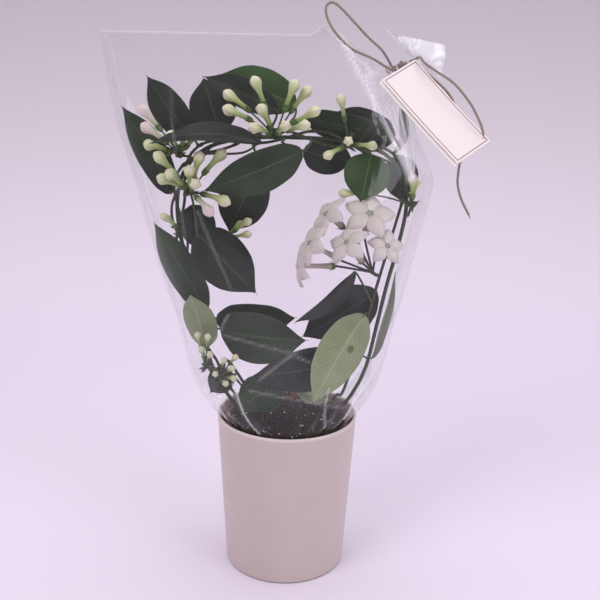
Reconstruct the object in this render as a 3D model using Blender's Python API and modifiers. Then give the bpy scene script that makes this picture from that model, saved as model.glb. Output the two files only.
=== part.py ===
# A potted stephanotis, trained round a wire hoop and wrapped in a clear sleeve that is tied at one corner.
# Metres, +Z up. The origin is the middle of the pot's foot, and the plant faces -Y.
# The tables of places are in millimetres, and mm() turns a row of them into a point.

from math import atan2, cos, degrees, hypot, pi, radians, sin

import bmesh
import bpy
from mathutils import Matrix, Quaternion, Vector
from mathutils.bvhtree import BVHTree

GAP = 0.0003
CLEARANCE = 0.00025
UP = Vector((0, 0, 1))
VIEWER = Vector((0, -1, 0))

# Cachepot
POT_HEIGHT = 0.1555
POT_RIM_RADIUS = 0.0675
POT_BASE_RADIUS = 0.0588
POT_WALL = 0.0026
POT_FLOOR = 0.0040
POT_FOOT_BEVEL = 0.0012

# Grow pot inside it, and the soil inside that
GROW_POT_TOP = 0.1490
GROW_POT_RIM_RADIUS = 0.0605
GROW_POT_BASE_RADIUS = 0.0440
GROW_POT_WALL = 0.0012
GROW_POT_LIP = 0.0018
GROW_POT_LIP_HEIGHT = 0.007
DRAIN_HOLES = 6
DRAIN_HOLE_RADIUS = 0.0045
DRAIN_RING_RADIUS = 0.0290
SOIL_TOP = 0.1440
SOIL_DOME = 0.0030
HOLE_FLOOR = 0.0980
HOLE_CLEARANCE = 0.0007

# Hoop and stems
HOOP_WIRE_RADIUS = 0.0018
HOOP_STEP = 0.0115
HOOP_MIDDLE = Vector((0, 0, 0.300))
VINE_RADIUS = 0.0014
VINE_PITCH = 0.105
VINE_REACH = 0.0048
VINE_WANDER = 0.0020
VINE_STEP = 0.013
VINE_TURN_SPACING = 0.012
JOIN_AFTER = 0.062
# A stalk or petiole that starts this near the hoop leaves its vine on the side away from the wire
HOOP_NEAR = 0.012
STALK_CLEAR_OF_HOOP = 0.2
LEAF_CLEAR_OF_HOOP = 0.1

# Leaves
LEAF_MID_THICKNESS = 0.0011
LEAF_EDGE_THICKNESS = 0.0006
PETIOLE_RADIUS = 0.0009

# Film sleeve
FILM_THICKNESS = 0.0006
FILM_SQUARENESS = 2.3
FILM_ROUND_BELOW = 0.157
FILM_SQUARE_ABOVE = 0.200
FILM_TOP_RISE = 0.030
FILM_TOP_RISE_AT = 0.055
FILM_TOP_RISE_REACH = 0.045
FILM_TOP_RISE_ABOVE = 0.430
NECK = (0.100, -0.001, 0.478)
NECK_BEFORE_GATHER = (0.112, 0.470)
NECK_HEADING_DEG = 48
NECK_HALF_LENGTH = 0.0075
GATHER_REACH_BELOW = 0.050
GATHER_REACH_ABOVE = 0.020
NECK_SQUEEZE = 0.06
NECK_FLATNESS = 0.10
ROSETTE_REACH = 0.018
ROSETTE_SPREAD = 0.95
ROSETTE_FLATNESS = 0.40
ROSETTE_LENGTH = 0.66

# Twine and tag
TWINE_RADIUS = 0.0012
TWINE_STEP = 0.0070
KNOT_ROPE_RADIUS = 0.0015
KNOT_TURN_SPACING = 0.0032
TAG_CORNER = (74, -38, 472)
TAG_LONG = (0.64, -0.40, -0.66)
TAG_SHORT = (0.80, 0.45, 0.38)
TAG_LENGTH = 0.096
TAG_WIDTH = 0.039
TAG_PLY = 0.0006
TAG_SLOT = 0.0012
TAG_BACK_PLY_OVERHANG = 0.0025
THREAD_RADIUS = 0.0004
THREAD_STEP = 0.004
THREAD_FROM_CORNER = 0.011


def mm(*place):
    return Vector(place) * 0.001


def ease(t):
    t = min(max(t, 0.0), 1.0)
    return t * t * (3 - 2 * t)


def mix(a, b, t):
    return a + (b - a) * t


# Scene and materials

def new_collection(name):
    collection = bpy.data.collections.new(name)
    bpy.context.scene.collection.children.link(collection)
    return collection


def material(name, colour, roughness, metallic=0.0, alpha=1.0):
    made = bpy.data.materials.new(name)
    made.use_nodes = True
    shader = made.node_tree.nodes["Principled BSDF"]
    shader.inputs["Base Color"].default_value = (*colour, 1)
    shader.inputs["Roughness"].default_value = roughness
    shader.inputs["Metallic"].default_value = metallic
    shader.inputs["Alpha"].default_value = alpha
    made.diffuse_color = (*colour, alpha)
    return made


for old in list(bpy.data.objects):
    bpy.data.objects.remove(old, do_unlink=True)

parts = new_collection("potted_stephanotis")
tools = new_collection("cutters")

CERAMIC = material("pot_glaze", (0.52, 0.43, 0.43), 0.45)
BROWN_PLASTIC = material("grow_pot_plastic", (0.20, 0.07, 0.05), 0.5)
PEAT = material("peat", (0.035, 0.022, 0.015), 0.95)
WIRE = material("hoop_wire", (0.06, 0.10, 0.05), 0.5)
STEM = material("stem_green", (0.07, 0.12, 0.04), 0.6)
LEAF = material("leaf_green", (0.030, 0.075, 0.022), 0.3)
BUD = material("bud_green", (0.45, 0.55, 0.22), 0.4)
PETAL = material("petal_white", (0.85, 0.82, 0.76), 0.4)
FILM = material("clear_film", (0.9, 0.9, 0.95), 0.1, alpha=0.2)
JUTE = material("jute", (0.30, 0.22, 0.14), 0.9)
CARD = material("tag_card", (0.88, 0.76, 0.74), 0.6)
THREAD = material("brown_thread", (0.35, 0.18, 0.12), 0.7)


# Tools for shapes

def add_mesh(name, mesh, surface, into=parts, smooth=True):
    thing = bpy.data.objects.new(name, mesh)
    into.objects.link(thing)
    thing.data.materials.append(surface)
    if smooth:
        thing.data.shade_smooth()
        thing.data.set_sharp_from_angle(angle=radians(40))
    return thing


def finished(name, thing, surface):
    # The evaluated shape becomes a plain mesh object, and its source is removed
    bpy.context.view_layer.update()
    graph = bpy.context.evaluated_depsgraph_get()
    mesh = bpy.data.meshes.new_from_object(thing.evaluated_get(graph))
    mesh.transform(thing.matrix_world)
    mesh.materials.clear()
    body = bmesh.new()
    body.from_mesh(mesh)
    bmesh.ops.remove_doubles(body, verts=body.verts, dist=0.00002)
    bmesh.ops.dissolve_degenerate(body, edges=body.edges, dist=0.00001)
    bmesh.ops.triangulate(body, faces=body.faces)
    body.to_mesh(mesh)
    body.free()
    bpy.data.objects.remove(thing, do_unlink=True)
    return add_mesh(name, mesh, surface)


def through(points, step):
    # A smooth curve through the points, read at even steps along it
    points = [Vector(p) for p in points]
    padded = [points[0] * 2 - points[1]] + points + [points[-1] * 2 - points[-2]]
    fine = []
    for i in range(1, len(padded) - 2):
        p0, p1, p2, p3 = padded[i - 1:i + 3]
        for k in range(16):
            t = k / 16
            fine.append(0.5 * (2 * p1 + (p2 - p0) * t + (2 * p0 - 5 * p1 + 4 * p2 - p3) * t * t
                               + (3 * p1 - p0 - 3 * p2 + p3) * t ** 3))
    fine.append(points[-1])
    run = [0.0]
    for a, b in zip(fine, fine[1:]):
        run.append(run[-1] + (b - a).length)
    count = max(2, round(run[-1] / step))
    even, i = [], 0
    for k in range(count + 1):
        at = run[-1] * k / count
        while i < len(run) - 2 and run[i + 1] < at:
            i += 1
        even.append(fine[i].lerp(fine[i + 1], (at - run[i]) / max(run[i + 1] - run[i], 1e-9)))
    return even


def closed_loft(rings):
    # Equal rings of points joined into one closed body, each face split the same way
    body = bmesh.new()
    rows = [[body.verts.new(p) for p in ring] for ring in rings]
    sides = len(rows[0])
    for low, high in zip(rows, rows[1:]):
        for i in range(sides):
            j = (i + 1) % sides
            body.faces.new((low[i], low[j], high[j]))
            body.faces.new((low[i], high[j], high[i]))
    body.faces.new(reversed(rows[0]))
    body.faces.new(rows[-1])
    bmesh.ops.triangulate(body, faces=[face for face in body.faces if len(face.verts) > 3])
    bmesh.ops.recalc_face_normals(body, faces=body.faces)
    mesh = bpy.data.meshes.new("loft")
    body.to_mesh(mesh)
    body.free()
    return mesh


def stalk(points, radii, sides, turn=0.0):
    # A tapering round body along a path: one radius for each of its points
    points = [Vector(p) for p in points]
    rings = []
    side = None
    for i, point in enumerate(points):
        ahead = (points[min(i + 1, len(points) - 1)] - points[max(i - 1, 0)]).normalized()
        if side is None:
            side = ahead.orthogonal().normalized()
        side = (side - ahead * side.dot(ahead)).normalized()
        across = ahead.cross(side)
        rings.append([point + radii[i] * (cos(a) * side + sin(a) * across)
                      for a in (turn + 2 * pi * k / sides for k in range(sides))])
    return closed_loft(rings)


def along(path, distance):
    # The point at a distance along a polyline
    for a, b in zip(path, path[1:]):
        length = (b - a).length
        if distance <= length:
            return a.lerp(b, distance / max(length, 1e-9))
        distance -= length
    return path[-1].copy()


def bowed(start, lean, end, steps=6):
    # A path that leaves start along lean and bends over to end
    reach = (end - start).length
    mid = start + lean.normalized() * reach * 0.45
    return [start * (1 - t) ** 2 + mid * 2 * t * (1 - t) + end * t * t
            for t in (k / steps for k in range(steps + 1))]


def fused(name, meshes, surface):
    # One Boolean union of all the meshes
    group = bpy.data.collections.new("to_join")
    bpy.context.scene.collection.children.link(group)
    core = bpy.data.objects.new("core", meshes[0])
    parts.objects.link(core)
    for i, mesh in enumerate(meshes[1:]):
        group.objects.link(bpy.data.objects.new(f"piece_{i}", mesh))
    union = core.modifiers.new("union", "BOOLEAN")
    union.operation = "UNION"
    union.operand_type = "COLLECTION"
    union.collection = group
    union.solver = "EXACT"
    thing = finished(name, core, surface)
    for piece in list(group.objects):
        bpy.data.objects.remove(piece, do_unlink=True)
    bpy.data.collections.remove(group)
    return thing


def ball(centre, radius):
    body = bmesh.new()
    bmesh.ops.create_icosphere(body, subdivisions=1, radius=radius)
    bmesh.ops.translate(body, verts=body.verts, vec=centre)
    mesh = bpy.data.meshes.new("ball")
    body.to_mesh(mesh)
    body.free()
    return mesh


def turned(name, profile, steps, surface):
    # A profile of (radius, height) pairs, from the axis round to the axis, turned about Z
    body = bmesh.new()
    rows = [body.verts.new((r, 0, z)) for r, z in profile]
    for a, b in zip(rows, rows[1:]):
        body.edges.new((a, b))
    mesh = bpy.data.meshes.new(name)
    body.to_mesh(mesh)
    body.free()
    thing = add_mesh(name, mesh, surface, smooth=False)
    screw = thing.modifiers.new("turn", "SCREW")
    screw.steps = steps
    screw.render_steps = steps
    screw.use_merge_vertices = True
    screw.merge_threshold = 0.0001
    screw.use_normal_calculate = True
    return finished(name, thing, surface)


def wire(name, points, radius, surface, resolution=2):
    line = bpy.data.curves.new(name, "CURVE")
    line.dimensions = "3D"
    line.bevel_depth = radius
    line.bevel_resolution = resolution
    line.use_fill_caps = True
    spline = line.splines.new("POLY")
    spline.points.add(len(points) - 1)
    for spot, point in zip(spline.points, points):
        spot.co = (*point, 1)
    thing = bpy.data.objects.new(name, line)
    parts.objects.link(thing)
    return finished(name, thing, surface)


def drilled(thing, places, low, high):
    # Plain upright round holes, cut one after another: each place is x, y and the hole's radius
    for i, (x, y, radius) in enumerate(places):
        bpy.ops.mesh.primitive_cylinder_add(
            vertices=8, radius=radius, depth=high - low, location=(x, y, (high + low) / 2))
        cutter = bpy.context.object
        cutter.name = f"{thing.name}_hole_{i + 1}"
        for owner in list(cutter.users_collection):
            owner.objects.unlink(cutter)
        tools.objects.link(cutter)
        cutter.hide_render = True
        cutter.display_type = "WIRE"
        cut = thing.modifiers.new(cutter.name, "BOOLEAN")
        cut.object = cutter
        cut.solver = "EXACT"


# Pot, grow pot and soil

def pot_outer_radius(z):
    return mix(POT_BASE_RADIUS, POT_RIM_RADIUS, z / POT_HEIGHT)


def pot():
    lip = POT_WALL / 2
    profile = [
        (0, POT_FLOOR),
        (pot_outer_radius(POT_FLOOR) - POT_WALL, POT_FLOOR),
        (POT_RIM_RADIUS - POT_WALL, POT_HEIGHT - lip),
        (POT_RIM_RADIUS - lip, POT_HEIGHT),
        (POT_RIM_RADIUS, POT_HEIGHT - lip),
        (pot_outer_radius(POT_FOOT_BEVEL), POT_FOOT_BEVEL),
        (POT_BASE_RADIUS - POT_FOOT_BEVEL, 0),
        (0, 0)]
    return turned("pot", profile, 40, CERAMIC)


def grow_pot_radius(z):
    low = POT_FLOOR + GAP
    return mix(GROW_POT_BASE_RADIUS, GROW_POT_RIM_RADIUS - GROW_POT_LIP, (z - low) / (GROW_POT_TOP - low))


def grow_pot():
    low = POT_FLOOR + GAP
    under_lip = GROW_POT_TOP - GROW_POT_LIP_HEIGHT
    profile = [
        (0, low + GROW_POT_WALL),
        (GROW_POT_BASE_RADIUS - GROW_POT_WALL, low + GROW_POT_WALL),
        (grow_pot_radius(GROW_POT_TOP) - GROW_POT_WALL, GROW_POT_TOP),
        (GROW_POT_RIM_RADIUS, GROW_POT_TOP),
        (GROW_POT_RIM_RADIUS, under_lip),
        (grow_pot_radius(under_lip), under_lip),
        (GROW_POT_BASE_RADIUS, low),
        (0, low)]
    body = turned("grow_pot", profile, 28, BROWN_PLASTIC)
    holes = [(DRAIN_RING_RADIUS * cos(a), DRAIN_RING_RADIUS * sin(a), DRAIN_HOLE_RADIUS)
             for a in (2 * pi * k / DRAIN_HOLES for k in range(DRAIN_HOLES))]
    drilled(body, holes, low - 0.002, low + GROW_POT_WALL + 0.002)
    return finished("grow_pot", body, BROWN_PLASTIC)


def soil(stem_feet):
    # Filled to just under the grow pot's rim and a little higher in the middle
    low = POT_FLOOR + 2 * GAP + GROW_POT_WALL

    def side(z):
        return grow_pot_radius(z) - GROW_POT_WALL - 2 * GAP

    profile = [
        (0, SOIL_TOP + SOIL_DOME),
        (0.018, SOIL_TOP + SOIL_DOME * 0.9),
        (0.036, SOIL_TOP + SOIL_DOME * 0.2),
        (0.050, SOIL_TOP + SOIL_DOME * 0.35),
        (side(SOIL_TOP) - 0.001, SOIL_TOP - 0.001),
        (side(SOIL_TOP - 0.003), SOIL_TOP - 0.003),
        (side(low), low),
        (0, low)]
    body = turned("soil", list(reversed(profile)), 24, PEAT)
    drilled(body, stem_feet, HOLE_FLOOR, SOIL_TOP + 0.010)
    return finished("soil", body, PEAT)


# Hoop and vine stems

# The wire from its left foot to its right one, in millimetres across and up: bent by hand, wider at the top
HOOP_ROUTE = [(-46, 100), (-46, 125), (-46, 149), (-49, 158), (-60, 174), (-73, 200), (-83, 240),
              (-92, 280), (-100, 320), (-104, 355), (-98, 385), (-78, 407), (-45, 417), (0, 419),
              (45, 417), (80, 408), (99, 388), (105, 360), (100, 325), (91, 285), (83, 243),
              (75, 203), (63, 175), (51, 158), (48, 149), (48, 125), (48, 100)]


def hoop_route():
    return [mm(x, 0, z) for x, z in HOOP_ROUTE]


HOOP_LINE_STEP = 0.002
HOOP_LINE = through(hoop_route(), HOOP_LINE_STEP)
HOOP_LENGTH = HOOP_LINE_STEP * (len(HOOP_LINE) - 1)


def on_hoop(distance):
    # The point, the heading and the outward direction at a distance along the hoop from its left foot
    i = min(max(int(distance / HOOP_LENGTH * (len(HOOP_LINE) - 1)), 1), len(HOOP_LINE) - 2)
    point = along(HOOP_LINE, distance)
    heading = (HOOP_LINE[i + 1] - HOOP_LINE[i - 1]).normalized()
    outward = VIEWER.cross(heading).normalized()
    if outward.dot(point - HOOP_MIDDLE) < 0:
        outward = -outward
    return point, heading, outward


def helix_point(distance, strand):
    # Three strands keep a third of a turn between them, so they never meet
    point, _, outward = on_hoop(distance)
    turn = 2 * pi * ((distance - JOIN_AFTER) / VINE_PITCH + 0.5 + strand / 3)
    reach = VINE_REACH + VINE_WANDER * (0.5 + 0.5 * sin(distance * 31 + strand * 2.1))
    return point + reach * (cos(turn) * outward + sin(turn) * VIEWER)


def inner_side(strand, near):
    # The distance nearest to near where this strand lies on the hoop's inner side
    base = JOIN_AFTER - strand / 3 * VINE_PITCH
    return base + round((near - base) / VINE_PITCH) * VINE_PITCH


def vine(name, strand, root, start, end):
    # From its foot in the soil up to the hoop, then wound round it
    rising = 1 if end > start else -1
    start = inner_side(strand, start)
    count = int(abs(end - start) / VINE_TURN_SPACING)
    wound = [helix_point(start + rising * VINE_TURN_SPACING * k, strand) for k in range(count + 1)]
    points = through([mm(*p) for p in root] + wound, VINE_STEP)
    return wire(name, points, VINE_RADIUS, STEM, resolution=1), points


VINES = {
    "vine_left": dict(strand=0, start=0.075, end=0.560,
                      root=[(-34, 7, 100), (-34, 7, 125), (-34, 7, 149), (-35, 7, 158), (-43, 5, 172)]),
    "vine_middle": dict(strand=-1, start=0.110, end=0.385,
                        root=[(-24, -12, 100), (-24, -12, 125), (-24, -12, 149), (-25, -12, 158),
                              (-40, -10, 184), (-58, -5, 208)]),
    "vine_right": dict(strand=1, start=0.545, end=0.170,
                       root=[(37, -8, 100), (37, -8, 125), (37, -8, 149), (38, -8, 158), (47, -6, 175),
                             (58, -4, 192)]),
}
LOW_STEM_ROUTE = [(8, -6, 100), (8, -6, 125), (8, -6, 149), (7, -7, 156), (3, -11, 169), (-5, -15, 182)]


# Film sleeve

# Height, then how far the film lies to the left, to the right, to the front and to the back, in millimetres
FILM_STATIONS = [
    (112, 59.4, 59.4, 59.4, 59.4),
    (132, 61.0, 61.0, 61.0, 61.0),
    (152, 62.6, 62.6, 62.6, 62.6),
    (161, 66.0, 65.5, 65.0, 64.0),
    (175, 79.0, 76.0, 69.5, 65.0),
    (200, 91.0, 88.0, 74.0, 62.0),
    (246, 102.0, 98.0, 78.0, 58.0),
    (294, 117.0, 108.5, 80.0, 56.0),
    (341, 131.0, 119.0, 78.0, 52.0),
    (391, 144.0, 129.0, 70.0, 47.0),
    (425, 154.0, 136.0, 57.0, 43.0),
    (455, 161.0, 143.0, 44.0, 38.0),
    (483, 165.0, 149.0, 32.0, 31.0),
    (507, 167.0, 153.0, 24.0, 25.0)]


def film_section(z):
    # The film's reach on its four sides at a height, on a smooth curve through the stations
    rows = FILM_STATIONS
    z = min(max(z * 1000, rows[0][0]), rows[-1][0])
    i = max(k for k in range(len(rows) - 1) if rows[k][0] <= z)
    low, high = rows[i], rows[i + 1]
    before, after = rows[max(i - 1, 0)], rows[min(i + 2, len(rows) - 1)]
    span = high[0] - low[0]
    t = (z - low[0]) / span
    out = []
    for k in range(1, 5):
        slope_low = (high[k] - before[k]) / (high[0] - before[0]) * span
        slope_high = (after[k] - low[k]) / (after[0] - low[0]) * span
        out.append(((2 * t ** 3 - 3 * t * t + 1) * low[k] + (t ** 3 - 2 * t * t + t) * slope_low
                    + (3 * t * t - 2 * t ** 3) * high[k] + (t ** 3 - t * t) * slope_high) * 0.001)
    return out


def neck_axis():
    heading = radians(NECK_HEADING_DEG)
    return Vector((cos(heading), 0, sin(heading)))


def gathered(x, y, z):
    # The film near its upper right corner drawn together at the neck, and spread again above it
    axis = neck_axis()
    px, pz = x - NECK_BEFORE_GATHER[0], z - NECK_BEFORE_GATHER[1]
    ahead = px * axis.x + pz * axis.z
    across = -px * axis.z + pz * axis.x
    if ahead <= 0:
        reach = mix(GATHER_REACH_BELOW, GATHER_REACH_ABOVE, ease(across / GATHER_REACH_BELOW))
        pull = 1 - ease((-ahead - NECK_HALF_LENGTH) / reach)
        spread = mix(1.0, NECK_SQUEEZE, pull)
        flat = mix(1.0, NECK_FLATNESS, pull)
    else:
        pull = 1.0
        beyond = ease((ahead - NECK_HALF_LENGTH) / ROSETTE_REACH)
        spread = mix(NECK_SQUEEZE, ROSETTE_SPREAD, beyond)
        flat = mix(NECK_FLATNESS, ROSETTE_FLATNESS, beyond)
        ahead *= mix(1.0, ROSETTE_LENGTH, beyond)
    base_x = mix(NECK_BEFORE_GATHER[0], NECK[0], pull)
    base_z = mix(NECK_BEFORE_GATHER[1], NECK[2], pull)
    across *= spread
    return Vector((base_x + ahead * axis.x - across * axis.z, y * flat + NECK[1] * pull,
                   base_z + ahead * axis.z + across * axis.x))


def film_point(turn, z):
    # A point of the sleeve: turn runs once round it from the right side, z is its height before gathering
    left, right, front, back = film_section(z)
    c, s = cos(turn), sin(turn)
    square = ease((z - FILM_ROUND_BELOW) / (FILM_SQUARE_ABOVE - FILM_ROUND_BELOW))
    power = 2 / mix(2, FILM_SQUARENESS, square)
    x = (right if c > 0 else left) * abs(c) ** power * (1 if c > 0 else -1)
    y = (back if s > 0 else front) * abs(s) ** power * (1 if s > 0 else -1)
    hump = max(0.0, 1 - ((x - FILM_TOP_RISE_AT) / FILM_TOP_RISE_REACH) ** 2) ** 2
    top = FILM_STATIONS[-1][0] * 0.001
    z += FILM_TOP_RISE * hump * ease((z - FILM_TOP_RISE_ABOVE) / (top - FILM_TOP_RISE_ABOVE))
    return gathered(x, y, z)


FILM_ROWS = [0.112, 0.152, 0.163, 0.178, 0.205, 0.255, 0.310, 0.360, 0.398, 0.423, 0.440, 0.454, 0.465, 0.475,
             0.485, 0.496, 0.507]
# Turns of the columns in degrees, from the right side over the back to the left: closer toward the neck
FILM_HALF_TURNS = [5, 15, 25, 35, 43, 50, 56, 61, 65.5, 69.5, 73, 76.5, 80, 84, 90, 99, 110, 123, 138, 155,
                   172]
FILM_TURNS = [radians(turn) for turn in FILM_HALF_TURNS + [360 - turn for turn in reversed(FILM_HALF_TURNS)]]


def film_sleeve():
    body = bmesh.new()
    rows = []
    for z in FILM_ROWS:
        rows.append([body.verts.new(film_point(turn, z)) for turn in FILM_TURNS])
    for low, high in zip(rows, rows[1:]):
        for i in range(len(low)):
            j = (i + 1) % len(low)
            if (low[i].co - high[j].co).length < (low[j].co - high[i].co).length:
                halves = (low[i], low[j], high[j]), (low[i], high[j], high[i])
            else:
                halves = (low[i], low[j], high[i]), (low[j], high[j], high[i])
            for corners in halves:
                body.faces.new(corners)
    mesh = bpy.data.meshes.new("film")
    body.to_mesh(mesh)
    body.free()
    thing = add_mesh("film_sleeve", mesh, FILM)
    thick = thing.modifiers.new("thickness", "SOLIDIFY")
    thick.thickness = FILM_THICKNESS
    thick.offset = 0
    return finished("film_sleeve", thing, FILM)


# Twine, thread and tag

KNOT = (94, -10.8, 483.4)
KNOT_SIDE = Vector((0.94, 0, 0.34)).normalized()
KNOT_HALF_LENGTH = 0.0052
KNOT_HALF_WAIST = 0.0030
KNOT_RADIUS = 0.0032
KNOT_END_RADIUS = 0.0026
NECK_SAMPLES = 8
KNOT_RING_STEPS = 18
KNOT_ROPE_SIDES = 5
TWINE_ROUTES = {
    "twine_loop": [(88.9, -10.8, 480.1), (86, -11.4, 479.1), (79, -20, 482), (66, -29, 489),
                   (46, -30, 498), (31, -24, 514), (26, -19, 527), (29, -17, 533), (35, -18, 532),
                   (47, -22, 521), (61, -25, 507), (74, -23, 496), (81, -16, 487), (85, -11.3, 481.6),
                   (87.9, -10.8, 482.6)],
    "twine_tail_1": [(99.2, -10.8, 486.8), (102.6, -11.4, 488.2), (107, -21, 491), (110, -29, 486.5),
                     (121, -37, 479), (133, -46, 471), (146, -54, 456), (155, -58, 440), (158, -59, 431)],
    "twine_tail_2": [(100.1, -10.8, 484.1), (103, -11.4, 484.4), (108, -15.5, 482), (120, -20, 473),
                     (132, -26, 462), (140, -28, 448), (145, -30, 432), (147, -30, 415), (145, -30, 399),
                     (145, -30, 385), (149, -32, 372), (156, -34, 359)],
}
THREAD_ROUTE = [(92.8, -13.8, 480.6), (88, -22, 480), (82, -27, 483)]
THREAD_IN_SLOT = (-0.006, 0.002, 0.008, 0.014)


def neck_reach(film, centre, axis, half_length):
    # How far the film stands from the neck's axis, along its edges, within a short length of the neck
    reach = 0.0
    for edge in film.data.edges:
        a, b = (film.data.vertices[i].co - centre for i in edge.vertices)
        for k in range(NECK_SAMPLES + 1):
            offset = a.lerp(b, k / NECK_SAMPLES)
            ahead = offset.dot(axis)
            if abs(ahead) < half_length:
                reach = max(reach, (offset - axis * ahead).length)
    return reach


def knot(film):
    # Two turns round the neck, as wide as the film there, and the knot on their front
    axis = neck_axis()
    centre = Vector(NECK)
    half_length = KNOT_TURN_SPACING / 2 + KNOT_ROPE_RADIUS
    reach = neck_reach(film, centre, axis, half_length) / cos(pi / KNOT_RING_STEPS)
    radius = reach + GAP + KNOT_ROPE_RADIUS
    facing = axis.to_track_quat("Z", "Y")
    meshes = []
    for shift in (-KNOT_TURN_SPACING / 2, KNOT_TURN_SPACING / 2):
        bpy.ops.mesh.primitive_torus_add(
            major_radius=radius, minor_radius=KNOT_ROPE_RADIUS,
            major_segments=KNOT_RING_STEPS, minor_segments=KNOT_ROPE_SIDES)
        ring = bpy.context.object
        for vertex in ring.data.vertices:
            vertex.co = centre + axis * shift + facing @ vertex.co
        meshes.append(ring.data.copy())
        bpy.data.objects.remove(ring, do_unlink=True)
    shape = [(-KNOT_HALF_LENGTH, KNOT_END_RADIUS), (-KNOT_HALF_WAIST, KNOT_RADIUS),
             (KNOT_HALF_WAIST, KNOT_RADIUS), (KNOT_HALF_LENGTH, KNOT_END_RADIUS)]
    meshes.append(stalk([mm(*KNOT) + KNOT_SIDE * shift for shift, _ in shape], [r for _, r in shape], 8))
    return fused("twine_knot", meshes, JUTE)


def tag_frame():
    # The tag's corner and its directions: down its long side, across it to the fold, and back from the viewer
    corner = mm(*TAG_CORNER)
    long = Vector(TAG_LONG).normalized()
    short = Vector(TAG_SHORT)
    short = (short - long * short.dot(long)).normalized()
    return corner, long, short, short.cross(long)


def tag():
    # A card folded along its upper long side: two plies with a slot between them
    corner, long, short, back = tag_frame()
    depth = TAG_PLY * 2 + TAG_SLOT
    outline = [(0, 0), (TAG_WIDTH, 0), (TAG_WIDTH, depth), (-TAG_BACK_PLY_OVERHANG, depth),
               (-TAG_BACK_PLY_OVERHANG, depth - TAG_PLY), (TAG_WIDTH - TAG_PLY, depth - TAG_PLY),
               (TAG_WIDTH - TAG_PLY, TAG_PLY), (0, TAG_PLY)]
    section = bpy.data.curves.new("tag", "CURVE")
    section.dimensions = "2D"
    section.fill_mode = "BOTH"
    section.extrude = TAG_LENGTH / 2
    edge = section.splines.new("POLY")
    edge.points.add(len(outline) - 1)
    edge.use_cyclic_u = True
    for spot, (across, deep) in zip(edge.points, outline):
        spot.co = (across, deep, 0, 1)
    card = bpy.data.objects.new("tag", section)
    parts.objects.link(card)
    card.location = corner + long * TAG_LENGTH / 2
    card.rotation_euler = Matrix((short, back, -long)).transposed().to_euler()
    return finished("tag", card, CARD)


def thread():
    # A thin thread from the knot into the fold of the tag
    corner, long, short, back = tag_frame()
    slot = corner + short * THREAD_FROM_CORNER + back * (TAG_PLY + TAG_SLOT / 2)
    route = [mm(*p) for p in THREAD_ROUTE] + [slot + long * run for run in THREAD_IN_SLOT]
    return wire("tag_thread", through(route, THREAD_STEP), THREAD_RADIUS, THREAD, resolution=1)


# Buds

# Each spray: where its stalk leaves the vine, its hub, its size, and the tips of its buds, in millimetres
SPRAYS = {
    "spray_left_upper": dict(vine="vine_right", hub=(-99, -14, 402), size=1.0, buds=[
        (-135, -8, 444), (-133, -12, 429), (-131, -14, 412), (-108, -14, 424), (-93, -12, 425),
        (-80, -4, 424)]),
    "spray_left_main": dict(vine="vine_middle", hub=(-90, -13, 369), size=1.05, buds=[
        (-120, -25, 406), (-109, -31, 391), (-88, -38, 396), (-81, -43, 383), (-68, -40, 354),
        (-53, -30, 363), (-79, -26, 408), (-58, -19, 409), (-118, -26, 385)]),
    "spray_top": dict(vine="vine_left", hub=(-15, -9, 419), size=1.0, buds=[
        (-35, -15, 472), (-60, -18, 459), (-60, -28, 446), (-29, -30, 449), (-36, -38, 431), (3, -13, 470),
        (15, -4, 464), (15, -38, 434), (-4, -40, 434), (24, -22, 446)]),
    "spray_top_right": dict(vine="vine_left", hub=(50, -9, 413), size=0.85, buds=[
        (74, -24, 415), (28, -28, 405), (48, -36, 421), (40, -20, 459)]),
    "spray_right": dict(vine="vine_left", hub=(108, -11, 362), size=0.85, buds=[
        (107, -18, 392), (112, -9, 387), (42, -14, 372)]),
    "spray_left_low": dict(vine="vine_left", hub=(-99, -10, 332), size=0.7, buds=[
        (-117, -16, 350), (-115, -4, 346)]),
    "spray_inner_left": dict(vine="vine_middle", hub=(-62, 2, 322), size=0.75, buds=[
        (-36, 0, 344), (-35, -8, 332), (-44, 10, 340)]),
    "spray_low_left_1": dict(vine="vine_left", hub=(-77, -17, 205), size=0.66, buds=[
        (-84, -27, 243), (-73, -35, 244), (-80, -34, 231), (-70, -41, 228)]),
    "spray_low_left_2": dict(vine="vine_middle", hub=(-65, -17, 192), size=0.62, buds=[
        (-57, -44, 224), (-46, -41, 226), (-48, -48, 217), (-47, -45, 205), (-66, -44, 209),
        (-55, -45, 199)]),
}
BUD_LENGTH = 0.030
BUD_RISE = 0.25
BUD_TOWARD_VIEWER = 0.10
PEDICEL_RADIUS = 0.0008
STALK_RADIUS = 0.0011
FLOWER_STALK_RADIUS = 0.0013
HUB_RADIUS = 0.0021
# Down a bud from the top of its pedicel: share of its length, and radius
BUD_PROFILE = [(0.04, 0.0020), (0.16, 0.0016), (0.58, 0.0020), (0.82, 0.0041), (1.0, 0.0006)]


def nearest_on_vines(place, lines, clear_of_hoop):
    # Spots on the stems near a place, nearest first, that face it past the hoop
    found = []
    for line in lines:
        for i in range(2, len(line) - 1):
            heading = (line[i + 1] - line[i - 1]).normalized()
            out = place - line[i]
            distance = out.length
            out = out - heading * out.dot(heading)
            if out.length < 1e-6:
                continue
            out.normalize()
            away = hoop_side(line[i])
            if away is not None and out.dot(away) < clear_of_hoop:
                continue
            found.append((distance, i, line[i], out))
    found.sort(key=lambda row: row[0])
    return [(spot, out) for _, _, spot, out in found]


def hoop_side(place):
    # From the hoop's middle line to the place, or nothing where the hoop is far off
    nearest = min(HOOP_LINE, key=lambda p: (p - place).length_squared)
    offset = place - nearest
    return offset.normalized() if offset.length < HOOP_NEAR else None


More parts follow.
